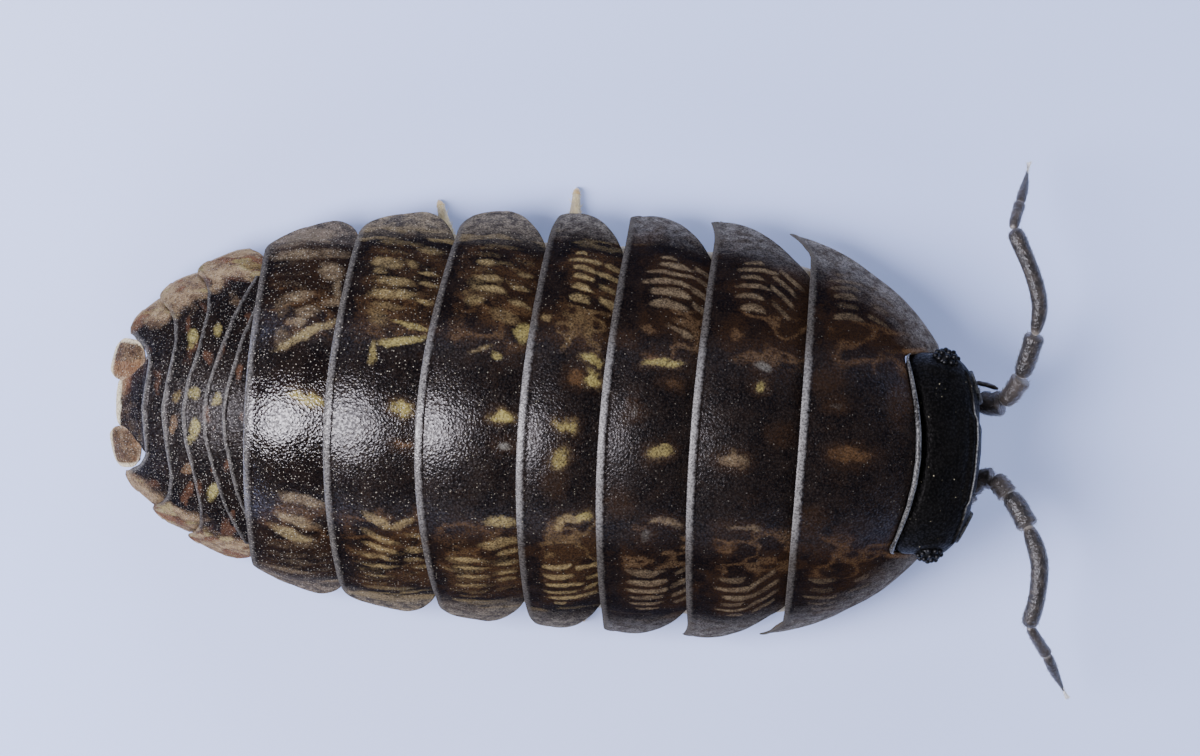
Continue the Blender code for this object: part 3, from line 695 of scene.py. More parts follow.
def makePlate(index):
    plan = platePlan
    u = np.sin(np.linspace(-plan["spread"], plan["spread"], plan["columns"])) / math.sin(plan["spread"])
    rear = rearEdge(index, u)
    v = sheetRows(*plan["rows"], *plan["lengths"])
    s, uu, base, ahead, arc, edge, thick = archSheet(u, frontEdge(index, u), rear, v, plan["thinAt"])
    side = np.abs(arc)
    seam = seamAhead(index, u)[None, :]
    share = clamp01((seam - s) / np.maximum(seam - rear[None, :], 0.2))
    under = clamp01((s - seam) / 0.25)
    # each plate is gently arched from front to rear, and its rear edge stands over the next one
    atSeam, rise, arching, power, tuck = plan["lifts"][min(index, 1)]
    lift = atSeam + rise * share + arching * np.sin(math.pi * share ** power) - tuck * under
    wave = layeredNoise(s * 1.1 + 3 * index, arc * 1.1, 91) - 0.5
    fineWave = layeredNoise(s * 5.0, arc * 5.0, 92 + index) - 0.5
    lift = lift + plan["bead"][1] * seamBead(ahead, plan["bead"][0])
    lift = lift + plan["waves"][0] * wave + plan["waves"][1] * fineWave
    groovePlace, grooveWide, grooveDeep = plan["groove"]
    flangeStart, flangeEnd, flangeOut = plan["flange"]
    lift = lift - grooveDeep * np.exp(-((side - groovePlace) / grooveWide) ** 2)
    lift = lift + flangeOut * smooth(flangeStart, flangeEnd, side)
    thickness = plan["thinnest"] + (plan["thick"] - plan["thinnest"]) * thick
    tones = plateMarks(index, s, arc, ahead)
    marginNoise = layeredNoise(s * 1.6, arc * 4.0, 120 + index) - 0.5
    reach = plan["margins"][index]
    margin = 0.85 * (1 - smooth(0.1 * reach, reach, edge + 0.7 * marginNoise))
    margin = margin * (0.75 + 0.6 * marginNoise)
    tones["margin"] = np.maximum(margin, 0.8 * (1 - smooth(0.1, 0.35, edge)))
    # a thin pale line along the very edge of the sides: the clear rim, partly a painted highlight
    raiseTone(tones, "pale", 0.5 * (1 - smooth(0.02, 0.05, edge)) * (marginNoise + 0.5))
    lipNoise = layeredNoise(s * 18, arc * 18, 130 + index) - 0.5
    lipEdge = 0.12 - 0.02 * smooth(2.0, 5.0, side) + 0.06 * lipNoise
    tones["lip"] = (1 - smooth(lipEdge - 0.06, lipEdge + 0.06, ahead)) * 0.8
    tones["matt"] = smooth(1.1, 2.5, side)
    if index == 0:
        # a warm edge on each side of the head
        beside = zone(np.abs(uu), (0.56, 0.59, 0.74, 0.78))
        raiseTone(tones, "orange", beside * (1 - smooth(0.06, 0.14, seam - s)))
    piece = closedSheet("backPlate%d" % (index + 1), base, lift, thickness, tones, plateMaterials[index])
    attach(piece, "root")
    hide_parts("tergite_%d" % (index + 1))


for index in range(7):
    makePlate(index)


# Camera: nearly level lines, from above and slightly behind the animal's left, as in the photo
view = {"width": 23.72, "roll": 3.7, "tilt": 4.7, "lens": 600.0, "sensor": 36, "right": 1.0674,
        "up": 0.8105, "height": 1.0}


def makeCamera():
    roll = math.radians(view["roll"])
    tilt = math.radians(view["tilt"])
    ahead = Vector((1, 0, 0))
    upBody = Vector((0, math.cos(tilt), -math.sin(tilt)))
    right = math.cos(roll) * ahead + math.sin(roll) * upBody
    up = -math.sin(roll) * ahead + math.cos(roll) * upBody
    away = Vector((0, math.sin(tilt), math.cos(tilt)))
    aim = Vector((-body["centreX"], -body["centreY"], view["height"]))
    aim = aim + right * view["right"] + up * view["up"]
    distance = view["width"] * view["lens"] / view["sensor"]
    data = bpy.data.cameras.new("photoView")
    data.lens = view["lens"]
    data.sensor_width = view["sensor"]
    data.clip_start = 0.01
    data.clip_end = 10
    data.dof.use_dof = False
    camera = newObject("photoView", data)
    turn = Matrix((right, up, away)).transposed().to_4x4()
    camera.matrix_world = Matrix.Translation((aim + away * distance) * mm) @ turn
    bpy.context.scene.camera = camera


print("camera, light and floor")
makeCamera()
# soft oval lights aimed at the middle of the back: lean to the tail and to the animal's right in
# degrees, distance, width and depth in millimetres, watts, colour, and if it shows in the gloss
lamps = {
    "keyLight": (33, 5, 60, 35, 56, 0.096, "F1F0FF", True),
    "frontFill": (-74, -10, 90, 80, 80, 0.1, "E4EAFF", False),
    "sideFill": (5, -72, 90, 80, 80, 0.1, "E4EAFF", False),
    "farSideFill": (5, 66, 90, 80, 80, 0.085, "F0F2FF", False),
}
lampAim = Vector((-1, 0, 4))
for name, (lean, back, far, wide, deep, watts, colour, glossy) in lamps.items():
    data = bpy.data.lights.new(name, "AREA")
    data.shape = "ELLIPSE"
    data.size = wide * mm
    data.size_y = deep * mm
    data.energy = watts
    data.color = toLinear(colour)[:3]
    lamp = newObject(name, data)
    lamp.visible_glossy = glossy
    away = Vector((-math.sin(math.radians(lean)), -math.sin(math.radians(back)), 0))
    away.z = math.sqrt(max(0.01, 1 - away.x ** 2 - away.y ** 2))
    lamp.matrix_world = (Matrix.Translation((lampAim + away * far) * mm)
                         @ away.to_track_quat("Z", "Y").to_matrix().to_4x4())

# a room that is dark overhead and pale round the sides: the back stays black and the flanks grey
roomLight = {"zenith": 0.02, "horizon": 0.4, "darkFrom": 0.55, "colour": "D8DEF2"}
world = bpy.data.worlds.new("softRoom")
world.use_nodes = True
room = world.node_tree
add = partial(addNode, room)
direction = add("ShaderNodeTexCoord")
height = add("ShaderNodeSeparateXYZ", {"Vector": (direction, "Generated")})
glow = add("ShaderNodeMapRange", {"Value": (height, "Z"), 1: roomLight["darkFrom"], 2: 0.0,
                                  3: roomLight["zenith"], 4: roomLight["horizon"]},
           interpolation_type="SMOOTHSTEP")
background = room.nodes["Background"]
background.inputs["Color"].default_value = toLinear(roomLight["colour"])
room.links.new(glow.outputs[0], background.inputs["Strength"])
bpy.context.scene.world = world

floorPlan = {"reach": 400 * mm, "colours": ("BACAF6", "BDCAF0"), "cloud": 60.0, "roughness": 0.6}


def makeFloor():
    material, add = newMaterial("PalePaintedBoard")   # matt, faintly blue, with no pattern
    colour, _, _ = cloudyColour(add, floorPlan["cloud"], 2.0, (0.3, 0.7), 1.0, *floorPlan["colours"])
    paint = add("ShaderNodeBsdfPrincipled",
                {"Base Color": (colour, 2), "Roughness": floorPlan["roughness"]})
    add("ShaderNodeOutputMaterial", {"Surface": (paint, 0)})
    reach = floorPlan["reach"]
    mesh = bpy.data.meshes.new("floor")
    corners = [(x * reach, y * reach, 0) for x, y in ((-1, -1), (1, -1), (1, 1), (-1, 1))]
    mesh.from_pydata(corners, [], [(0, 1, 2, 3)])
    mesh.materials.append(material)
    newObject("floor", mesh)


makeFloor()


# Tail: five short rings, the blunt last plate and the two flat tail feet beside it
tail = {
    # rear edges: share of the arch, and station
    "rears": [
        [(0, -6.34), (0.1, -6.31), (0.37, -6.06), (0.6, -5.74), (0.66, -5.66)],
        [(0, -6.73), (0.12, -6.69), (0.34, -6.44), (0.49, -6.24), (0.61, -6.03), (0.72, -5.83)],
        [(0, -7.15), (0.17, -7.07), (0.34, -6.88), (0.56, -6.73), (0.71, -6.74), (0.8, -6.82),
         (0.9, -6.96), (1, -7.00)],
        [(0, -7.56), (0.16, -7.49), (0.415, -7.34), (0.576, -7.38), (0.7, -7.5), (0.82, -7.66),
         (1, -7.72)],
        [(0, -7.95), (0.228, -7.88), (0.352, -7.84), (0.46, -7.93), (0.6, -8.1), (0.8, -8.24),
         (1, -8.26)],
    ],
    "fronts": [
        [(0, -5.62), (0.66, -5.3)],
        [(0, -6.1), (0.37, -5.84), (0.72, -5.5)],
        [(0, -6.48), (0.34, -6.2), (0.61, -5.76), (0.8, -5.6), (0.92, -5.76), (1, -6.02)],
        [(0, -6.88), (0.34, -6.66), (0.7, -6.52), (0.86, -6.66), (1, -7.02)],
        [(0, -7.28), (0.4, -7.1), (0.7, -7.16), (0.88, -7.36), (1, -7.7)],
    ],
    # share of the arch that each ring reaches; the first two end under the last back plate
    "reach": [0.66, 0.72, 1.0, 1.0, 1.0],
    "columns": [261, 281, 361, 321, 281], "rows": (44, 15), "lengths": (0.9, 0.12),
    "thick": 0.09, "thinnest": 0.03, "thinAt": (0.3, 0.1),
    # lift at the seam ahead, its rise to the rear, the tuck under; rim: width and height; unevenness
    "lift": (-0.08, 0.09, 0.07), "bead": (0.09, 0.02), "waves": (0.02, 0.008),
    # rounding of the rear corners: where it begins, its run and its depth
    "corner": (0.93, 0.07, 0.16), "specks": 1.2,
    # ring, place along and round, length, width, tone, strength
    "spots": [
        (3, -7.02, 1.55, 0.2, 0.46, "yellow", 0.75), (2, -6.52, 1.77, 0.16, 0.4, "yellow", 0.6),
        (2, -6.5, -1.72, 0.22, 0.44, "yellow", 0.9), (2, -6.93, 0.37, 0.22, 0.34, "yellow", 0.7),
        (1, -6.47, 0.29, 0.18, 0.28, "yellow", 0.6), (2, -6.9, -0.33, 0.2, 0.5, "yellow", 0.85),
        (3, -7.28, 0.3, 0.14, 0.24, "yellow", 0.3), (3, -7.02, -1.25, 0.22, 0.26, "tan", 0.4),
        (3, -7.32, -0.25, 0.14, 0.5, "tan", 0.5), (0, -6.05, 0.9, 0.14, 0.4, "rust", 0.9),
    ],
}
# on the tail the shell is thinner: warmer tan and rust show through, and its rims are cream
tailShell = dict(shell, tan="6E5A44", tanPale="8F7A5A", orange="63452F", rust="33221A",
                 yellow="87804E", margin="8C857A", marginTan="9E8C72", marginDark="6E5A46",
                 # the paler lip tone, on the back of the rings, is a painted highlight
                 lip="4E4B47", lipPaleAndPaintedHighlight="5E5B56", speck="ABA69A", pale="C4B999", gloss=0.22,
                 speckGap=0.043)
tailMaterial = cuticleMaterial("WaxedChitinTail", tail["specks"], marginTan=1.0, roughness=0.34,
                               coat=0.05, shell=tailShell)


def makeTailRing(ring):
    reach = tail["reach"][ring]
    whole = reach == 1.0
    u = np.linspace(-reach, reach, tail["columns"][ring])
    rear = softCurve(u, tail["rears"][ring])
    if whole:
        start, run, deep = tail["corner"]
        rear = rear + deep * (1 - np.sqrt(1 - clamp01((np.abs(u) - start) / run) ** 2))
    s, uu, base, ahead, arc, edge, thick = archSheet(
        u, softCurve(u, tail["fronts"][ring]), rear, sheetRows(*tail["rows"], *tail["lengths"]),
        tail["thinAt"])
    seam = softCurve(u, tail["rears"][ring - 1])[None, :] if ring else rearEdge(6, u)[None, :]
    share = clamp01((seam - s) / 0.4)
    under = clamp01((s - seam) / 0.2)
    wave = layeredNoise(s * 1.6 + 3 * ring, arc * 1.6, 191) - 0.5
    fineWave = layeredNoise(s * 8.0, arc * 8.0, 192 + ring) - 0.5
    atSeam, rise, tuck = tail["lift"]
    lift = atSeam + rise * share - tuck * under + tail["bead"][1] * seamBead(ahead, tail["bead"][0])
    lift = lift + tail["waves"][0] * wave + tail["waves"][1] * fineWave
    thickness = tail["thinnest"] + (tail["thick"] - tail["thinnest"]) * thick
    blotch = layeredNoise(s * 2.6, arc * 2.0, 205 + ring)
    lobe = smooth(0.6, 0.84, np.abs(uu) + 0.3 * (blotch - 0.5)) if whole else 0 * uu
    streak = layeredNoise(s * 2.6 + 9, arc * 3.4, 215 + ring)
    cloudy = 0.35 + 1.1 * layeredNoise(s * 7.0, arc * 7.0, 225 + ring)
    warm = smooth(0.64, 0.8, layeredNoise(s * 3.4, arc * 1.7, 235 + ring))
    fray = layeredNoise(s * 7.0, arc * 7.0, 245 + ring) - 0.5
    rim = (1 - smooth(0.03, 0.16, edge + 0.1 * wave)) if whole else 0 * s
    tones = {"tan": lobe * smooth(0.34, 0.56, blotch) * cloudy,
             "yellow": lobe * smooth(0.6, 0.74, streak) * 0.5,
             "orange": np.maximum(lobe * smooth(0.5, 0.64, 1 - blotch), 0.3 * warm) * cloudy,
             "rust": np.maximum(0.9 * warm, 0.9 * lobe),
             "margin": rim, "matt": 0.9 * smooth(0.5, 1.8, np.abs(arc))}
    tones["lip"] = 0.8 * (1 - smooth(0.03, 0.1, ahead + 0.05 * fineWave))
    tones["lip"] = tones["lip"] * (1 - np.maximum(rim, 0.7 * lobe))
    for which, place, placeRound, length, width, tone, amount in tail["spots"]:
        if which == ring:
            spot = softSpot(s + 0.1 * fray - place, arc + 0.24 * fray - placeRound, length, width, 8)
            raiseTone(tones, "orange", 0.3 * spot)
            raiseTone(tones, tone, 0.85 * amount * spot ** 1.3 * np.minimum(1, cloudy + 0.1))
    piece = closedSheet("tailRing%d" % (ring + 1), base, lift, thickness, tones, tailMaterial)
    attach(piece, "root")
    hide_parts("abdomen")


print("tail")
for ring in range(5):
    makeTailRing(ring)

tailPlate = {"front": -7.7, "rear": -8.49, "frontHalf": 1.02, "rearHalf": 0.47, "frontHigh": 2.72,
             "rearHigh": 1.5, "droop": 0.42, "columns": 181, "rows": 120, "thick": 0.12,
             "thinnest": 0.03}


# The last plate: a rounded wedge between the tail feet, narrowing to a blunt tip.
def makeTailPlate():
    plan = tailPlate
    v = np.linspace(0, 1, plan["rows"])[:, None]
    u = np.linspace(-1, 1, plan["columns"])[None, :]
    along = v + 0 * u
    half = plan["frontHalf"] + (plan["rearHalf"] - plan["frontHalf"]) * smooth(0.0, 0.85, along)
    half = half * np.sqrt(np.maximum(0.04, 1 - np.maximum(0, (along - 0.86) / 0.15) ** 2.2))
    t = half * np.sin(u * math.pi / 2 * 0.98)
    s = plan["front"] + (plan["rear"] - plan["front"]) * along
    high = plan["frontHigh"] + (plan["rearHigh"] - plan["frontHigh"]) * along ** 1.25
    z = high - plan["droop"] * (t / plan["frontHalf"]) ** 2 * (1 - 0.4 * along)
    base = toWorld(s, t, z)
    grainy = layeredNoise(s * 8, t * 8, 230) - 0.5
    blotch = layeredNoise(s * 2.6, t * 2.2, 231)
    lift = 0.015 * grainy - 0.02 * np.exp(-((along - 0.35) / 0.06) ** 2)
    rim = np.minimum(1, smooth(0.86, 0.97, along) + smooth(0.86, 0.97, np.abs(u)))
    thickness = plan["thinnest"] + (plan["thick"] - plan["thinnest"]) * (1 - rim)
    # a cream tip, and tan and rust that gather on the animal's left
    cream = smooth(0.84, 0.93, along + 0.1 * grainy)
    warmSide = 0.12 + 0.75 * smooth(0.1, 0.7, u + 0.5 * (blotch - 0.5))
    cloudy = 0.35 + 1.1 * layeredNoise(s * 7.0, t * 7.0, 232)
    tan = np.maximum(0.12 * smooth(0.5, 0.66, blotch), smooth(0.68, 0.84, along) * warmSide)
    orange = smooth(0.5, 0.75, along + 0.3 * (blotch - 0.5)) * (1 - cream) * cloudy * warmSide
    tones = {"tan": tan * cloudy, "orange": orange, "rust": (0.2 + 0.6 * along) * warmSide,
             "pale": cream, "margin": 0.4 * rim, "matt": 0.4 + 0.5 * along}
    piece = closedSheet("tailPlate", base, lift, thickness, tones, tailMaterial)
    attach(piece, "root")
    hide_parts("telson")


makeTailPlate()

# the corners of each foot, along and to the side: outer front, inner front, inner rear, outer rear
tailFoot = {"left": [(-7.95, 1.22), (-7.94, 0.44), (-8.66, 0.46), (-8.48, 1.26)],
            "right": [(-7.98, 1.24), (-7.95, 0.46), (-8.64, 0.5), (-8.45, 1.3)],
            "highs": [1.96, 2.1, 1.4, 1.36], "thick": 0.16, "thinnest": 0.03, "crown": 0.08,
            "cells": 71, "square": 0.42, "fill": 0.96}


# A square grid from -1 to 1, and the same grid drawn in to a rounded one.
def roundedSquare(cells, inward, power):
    p, q = np.meshgrid(np.linspace(-1, 1, cells), np.linspace(-1, 1, cells), indexing="ij")
    return p, q, p * np.sqrt(1 - inward * q ** power), q * np.sqrt(1 - inward * p ** power)


def betweenCorners(a, b, c):
    return (1 - a) * ((1 - b) * c[0] + b * c[1]) + a * ((1 - b) * c[3] + b * c[2])


# One flat tail foot, a plate with rounded corners and a pale rim.
def makeTailFoot(side, name, node):
    p, q, x, y = roundedSquare(tailFoot["cells"], tailFoot["square"], 4)
    a = (x / tailFoot["fill"] + 1) / 2
    b = (y / tailFoot["fill"] + 1) / 2
    corners = list(zip(*tailFoot["left" if side > 0 else "right"]))
    s, t, z = (betweenCorners(a, b, c) for c in (*corners, tailFoot["highs"]))
    base = toWorld(s, side * t, z)
    rim = smooth(0.72, 0.96, np.maximum(np.abs(p), np.abs(q)))
    blotch = layeredNoise(s * 3.0 + side, t * 3.0, 240)
    grainy = layeredNoise(s * 9, t * 9, 241) - 0.5
    lift = tailFoot["crown"] * ((1 - x ** 2) * (1 - y ** 2)) + 0.015 * grainy
    thickness = tailFoot["thinnest"] + (tailFoot["thick"] - tailFoot["thinnest"]) * (1 - rim) ** 0.8
    cloudy = 0.4 + 1.0 * layeredNoise(s * 7.0, t * 7.0, 243)
    outer = smooth(0.7, 0.9, np.maximum(p, -q))
    tones = {"tan": 0.35 * cloudy, "orange": smooth(0.36, 0.6, blotch) * cloudy, "rust": 0.8 + 0 * s,
             "pale": 0.85 * outer, "margin": 0.7 * rim, "matt": 0.6 + 0 * s}
    piece = closedSheet(name, base, lift, thickness, tones, tailMaterial)
    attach(piece, "root")
    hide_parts(node)


makeTailFoot(1, "tailFootLeft", "uropod_left")
makeTailFoot(-1, "tailFootRight", "uropod_right")


# Head: nearly black, finely grained, with a pale raised line along its front edge
headPlan = {
    "centre": (7.94, 0.0, 2.78), "half": (0.61, 1.99, 1.16), "cuts": 74,
    "eye": (7.72, 1.87, 2.94), "eyeHalf": (0.26, 0.22, 0.19), "lens": 0.056,
    # the lobes that shield the feelers' roots: middle, half sizes, turn, rings and points round each
    "lobe": (8.27, 1.34, 2.66), "lobeHalf": (0.13, 0.42, 0.36), "lobeTurn": 24, "lobeGrid": (26, 64),
    # the rim behind the head: girth, reach as a share of the arch, and points
    "rim": 0.045, "rimReach": 0.6, "rimPoints": 90,
    # heights of the forms that stand out or in
    "line": 0.045, "shield": 0.05, "socket": 0.14, "brow": 0.04, "lip": 0.08, "eyeRidge": 0.03,
    "grain": 0.01, "swell": 0.035, "hollow": 0.03,
}
headMaterial = cuticleMaterial("FineBlackChitinHead", 0.05, roughness=0.5, coat=0.0,
                               shell=dict(shell, base="040404", brown="0B0A09", gloss=0.22,
                                          lipPaleAndPaintedHighlight="9C9B98", lip="7C7B78"))


# The points and faces of a bmesh, which is freed.
def arraysOf(shape):
    points = np.array([v.co[:] for v in shape.verts])
    faces = np.array([[v.index for v in f.verts] for f in shape.faces])
    shape.free()
    return points, faces


def cubeSphere(cuts):
    shape = bmesh.new()
    bmesh.ops.create_cube(shape, size=2)
    bmesh.ops.subdivide_edges(shape, edges=shape.edges[:], cuts=cuts, use_grid_fill=True)
    points, faces = arraysOf(shape)
    return points / np.linalg.norm(points, axis=1, keepdims=True), faces


def pointNormals(points, faces):
    normal = np.zeros_like(points)
    flat = np.cross(points[faces[:, 1]] - points[faces[:, 0]], points[faces[:, 3]] - points[faces[:, 0]])
    for k in range(4):
        np.add.at(normal, faces[:, k], flat)
    return normal / np.maximum(np.linalg.norm(normal, axis=1, keepdims=True), 1e-12)


def headSurface(x, y, z):
    cx, _, cz = headPlan["centre"]
    hx, hy, hz = headPlan["half"]
    along, side, up = boxy(x, 0.55), boxy(y, 0.62), boxy(z, 0.75)
    under, over = np.maximum(0, -up), np.maximum(0, up)
    back = clamp01(-along)
    t = hy * side * (1 - 0.28 * under) * (1 + 0.05 * back)
    s = cx + hx * along - 0.26 * side ** 2 - 0.8 * under * clamp01(along)
    # the rear edge reaches in under the rim of the front plate, further at both corners
    s = s - (0.08 + 0.46 * side ** 2) * back * (1 - 0.6 * under)
    high = cz + hz * up - 0.3 * over * side ** 2 - 0.5 * over * (along + 1) / 2
    return s, t, high


# A soft round spot of height one at a place, in two directions.
def softBump(x, y, cx, cy, wide, tall):
    return np.exp(-((x - cx) / wide) ** 2 - ((y - cy) / tall) ** 2)


def makeHead():
    plan = headPlan
    sphere, faces = cubeSphere(plan["cuts"])
    x, y, z = sphere.T
    s, t, high = headSurface(x, y, z)
    points = toWorld(s, t, high)
    normal = pointNormals(points, faces)
    if (normal * sphere).sum() < 0:
        normal = -normal
    face = smooth(0.45, 0.62, x)
    top = smooth(0.35, 0.6, z)
    side = np.abs(t)
    frontLine = np.exp(-((x - 0.62 * np.maximum(z, 0) - 0.26) / 0.045) ** 2) * smooth(0.3, 0.45, z)
    shield = face * (1 - smooth(0.5, 0.62, side / np.maximum(0.2, (high - 1.9)) * 0.9))
    shield = shield * smooth(2.0, 2.2, high)
    socket = softBump(side, high, 0.98, 2.0, 0.34, 0.34) * face
    brow = softBump(side, high, 1.25, 2.9, 0.5, 0.14) * face
    lowerLip = softBump(side, high, 0.0, 1.75, 0.6, 0.18) * smooth(0.2, 0.5, x)
    eyeRidge = softBump(s, high, 7.72, 3.24, 0.4, 0.1) * smooth(1.5, 1.75, side)
    grainy = layeredNoise(s * 7 + 3, t * 7, 301) - 0.5
    swell = layeredNoise(s * 1.6, t * 1.6 + high, 302) - 0.5
    out = plan["line"] * frontLine + plan["shield"] * shield - plan["socket"] * socket
    out = out + plan["brow"] * brow + plan["lip"] * lowerLip
    out = out + plan["eyeRidge"] * eyeRidge + plan["grain"] * grainy * top
    out = out + plan["swell"] * swell - 0.015
    # two shallow hollows behind the front line
    out = out - plan["hollow"] * top * softBump(side, s, 0.7, 8.1, 0.45, 0.16)
    points = points + normal * (out[:, None] * mm)
    piece = meshFrom("headShell", points, faces, headMaterial)
    shine = 0.1 + 0.4 * smooth(-0.1, 0.25, 1.1 - side)
    giveAttribute(piece, "lip", shine * smooth(0.35, 0.9, frontLine) * smooth(0.1, 0.5, 1.9 - side))
    giveAttribute(piece, "rust", 0.5 * face * smooth(2.3, 1.8, high) + 0.25 * socket)
    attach(piece, "root")
    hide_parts("head")


print("head")
makeHead()


# A geometry tree that has these values between its Geometry and Material inputs.
def newTree(name, values):
    tree = bpy.data.node_groups.new(name, "GeometryNodeTree")
    face = tree.interface
    face.new_socket("Geometry", in_out="INPUT", socket_type="NodeSocketGeometry")
    for label, kind, value in values:
        face.new_socket(label, in_out="INPUT", socket_type="NodeSocket" + kind).default_value = value
    face.new_socket("Material", in_out="INPUT", socket_type="NodeSocketMaterial")
    face.new_socket("Geometry", in_out="OUTPUT", socket_type="NodeSocketGeometry")
    add = partial(addNode, tree)
    return tree, add, add("NodeGroupInput")


# Ends a tree: joins its parts, makes them real and gives them the material.
def finishTree(tree, add, given, parts, soft=False):
    shape = add("GeometryNodeJoinGeometry")
    for node, output in parts:
        tree.links.new(node.outputs[output], shape.inputs[0])
    shape = add("GeometryNodeRealizeInstances", {"Geometry": (shape, 0)})
    if soft:
        shape = add("GeometryNodeSetShadeSmooth", {"Geometry": (shape, 0)})
    shape = add("GeometryNodeSetMaterial", {"Geometry": (shape, 0), "Material": (given, "Material")})
    add("NodeGroupOutput", {0: (shape, 0)})
    return tree


# Geometry Nodes: tubes along paths, each point as thick as its "girth", with short hairs that lean
# along the limb. Used for feelers, legs, claws and the rim behind the head.
def hairyTubeTree():
    tree, add, given = newTree("hairyTube", (
        ("Sides", "Int", 14), ("Hairs per square metre", "Float", 0.0), ("Hair length", "Float", 0.0001),
        ("Hair girth", "Float", 0.000006), ("Hair lean", "Float", 1.2), ("Seed", "Int", 1)))
    girth = add("GeometryNodeInputNamedAttribute", {"Name": "girth"}, data_type="FLOAT")
    path = add("GeometryNodeMeshToCurve", {"Mesh": (given, "Geometry")})
    tangent = add("GeometryNodeInputTangent")
    path = add("GeometryNodeStoreNamedAttribute",
               {"Geometry": (path, 0), "Name": "pathWay", "Value": (tangent, 0)},
               data_type="FLOAT_VECTOR", domain="POINT")
    ring = add("GeometryNodeCurvePrimitiveCircle", {"Resolution": (given, "Sides"), "Radius": 1.0})
    tube = add("GeometryNodeCurveToMesh",
               {"Curve": (path, 0), "Profile Curve": (ring, 0), "Scale": (girth, 0), "Fill Caps": True})
    tube = add("GeometryNodeSetShadeSmooth", {"Geometry": (tube, 0)})
    scatter = add("GeometryNodeDistributePointsOnFaces", {
        "Mesh": (tube, 0), "Density": (given, "Hairs per square metre"), "Seed": (given, "Seed")})
    way = add("GeometryNodeInputNamedAttribute", {"Name": "pathWay"}, data_type="FLOAT_VECTOR")
    leaning = add("ShaderNodeVectorMath", {0: (way, 0), "Scale": (given, "Hair lean")},
                  operation="SCALE")
    leaning = add("ShaderNodeVectorMath", {0: (leaning, 0), 1: (scatter, "Normal")})
    turn = add("FunctionNodeAlignRotationToVector", {"Vector": (leaning, 0)})
    hair = add("GeometryNodeMeshCone", {"Vertices": 4, "Radius Bottom": (given, "Hair girth"),
                                        "Radius Top": 0.0, "Depth": (given, "Hair length")})
    hair = add("GeometryNodeStoreNamedAttribute", {"Geometry": (hair, 0), "Name": "hair", "Value": 1.0},
               data_type="FLOAT", domain="POINT")
    size = add("FunctionNodeRandomValue", {2: 0.5, 3: 1.2, "Seed": (given, "Seed")})
    hairs = add("GeometryNodeInstanceOnPoints", {
        "Points": (scatter, "Points"), "Instance": (hair, 0), "Rotation": (turn, 0), "Scale": (size, 1)})
    return finishTree(tree, add, given, ((tube, 0), (hairs, 0)))


# Runs a node tree on a carrier object and keeps the result as a plain mesh in its place.
def runTree(tree, carrier, settings, name):
    modifier = carrier.modifiers.new("shape", "NODES")
    modifier.node_group = tree
    for item in tree.interface.items_tree:
        if item.item_type == "SOCKET" and item.in_out == "INPUT" and item.name in settings:
            modifier[item.identifier] = settings[item.name]
    carrier.update_tag()
    made = bpy.data.meshes.new_from_object(carrier.evaluated_get(bpy.context.evaluated_depsgraph_get()))
    carrier.modifiers.remove(modifier)
    bpy.data.objects.remove(carrier)
    made.name = name
    return newObject(name, made)


# An object of loose edges: each path is (points in metres, girths in millimetres, tones).
def pathCarrier(paths):
    points, edges, girths, tones = [], [], [], []
    for way, girth, tone in paths:
        start = len(points)
        points += [tuple(p) for p in way]
        edges += [(start + k, start + k + 1) for k in range(len(way) - 1)]
        girths += list(girth)
        tones += list(tone)
    mesh = bpy.data.meshes.new("paths")
    mesh.from_pydata(points, edges, [])
    carrier = newObject("paths", mesh)
    giveAttribute(carrier, "girth", np.array(girths) * mm)
    giveAttribute(carrier, "tone", tones)
    return carrier


# Points spaced along a rounded line through the stops.
def smoothPath(stops, count):
    stops = np.array(stops, float)
    if len(stops) == 2:
        return stops[0] + (stops[1] - stops[0]) * np.linspace(0, 1, count)[:, None]
    ends = np.vstack([2 * stops[0] - stops[1], stops, 2 * stops[-1] - stops[-2]])
    fine = []
    for k in range(1, len(ends) - 2):
        p0, p1, p2, p3 = ends[k - 1:k + 3]
        for f in np.linspace(0, 1, 24, endpoint=False):
            fine.append(0.5 * (2 * p1 + (p2 - p0) * f + (2 * p0 - 5 * p1 + 4 * p2 - p3) * f ** 2
                               + (3 * p1 - p0 - 3 * p2 + p3) * f ** 3))
    fine.append(stops[-1])
    fine = np.array(fine)
    run = np.concatenate([[0], np.cumsum(np.linalg.norm(np.diff(fine, axis=0), axis=1))])
    places = np.linspace(0, run[-1], count)
    return np.stack([np.interp(places, run, fine[:, k]) for k in range(3)], axis=1)


# how thick a joint piece is from its near end to its far end, as shares of its own girth
jointShape = {
    "places": [0, 0.012, 0.035, 0.07, 0.12, 0.2, 0.35, 0.5, 0.65, 0.8, 0.88, 0.94, 0.975, 0.992, 1],
    "girths": [0.3, 0.5, 0.66, 0.8, 0.91, 1.0, 1.02, 1.0, 0.98, 1.0, 1.03, 1.0, 0.88, 0.7, 0.48],
    # where a last piece begins to taper, how much of it goes, and the bend of the taper
    "taper": (0.4, 0.7, 1.6),
}


# One joint piece of a limb, through stops in metres, from one girth to another in millimetres, with
# closer points at both ends.
def articlePath(stops, near, far, tone, count, pointed=False):
    share = np.concatenate([np.linspace(0, 0.1, 6, endpoint=False), np.linspace(0.1, 0.88, count - 14),
                            np.linspace(0.9, 1, 8)])
    steps = 199
    dense = smoothPath(stops, steps + 1)
    index = share * steps
    low = np.floor(index).astype(int).clip(0, steps - 1)
    way = dense[low] + (dense[low + 1] - dense[low]) * (index - low)[:, None]
    shape = np.interp(share, jointShape["places"], jointShape["girths"])
    if pointed:
        start, most, bend = jointShape["taper"]
        shape = np.where(share > start, 1 - most * ((share - start) / (1 - start)) ** bend, shape)
    girth = (near + (far - near) * share) * shape
    joint = np.maximum(1 - share / 0.08, 0.35 - 0.35 * (1 - share) / 0.05).clip(0)
    tones = tone * (1 - joint) - 0.25 * joint
    return way, girth, tones


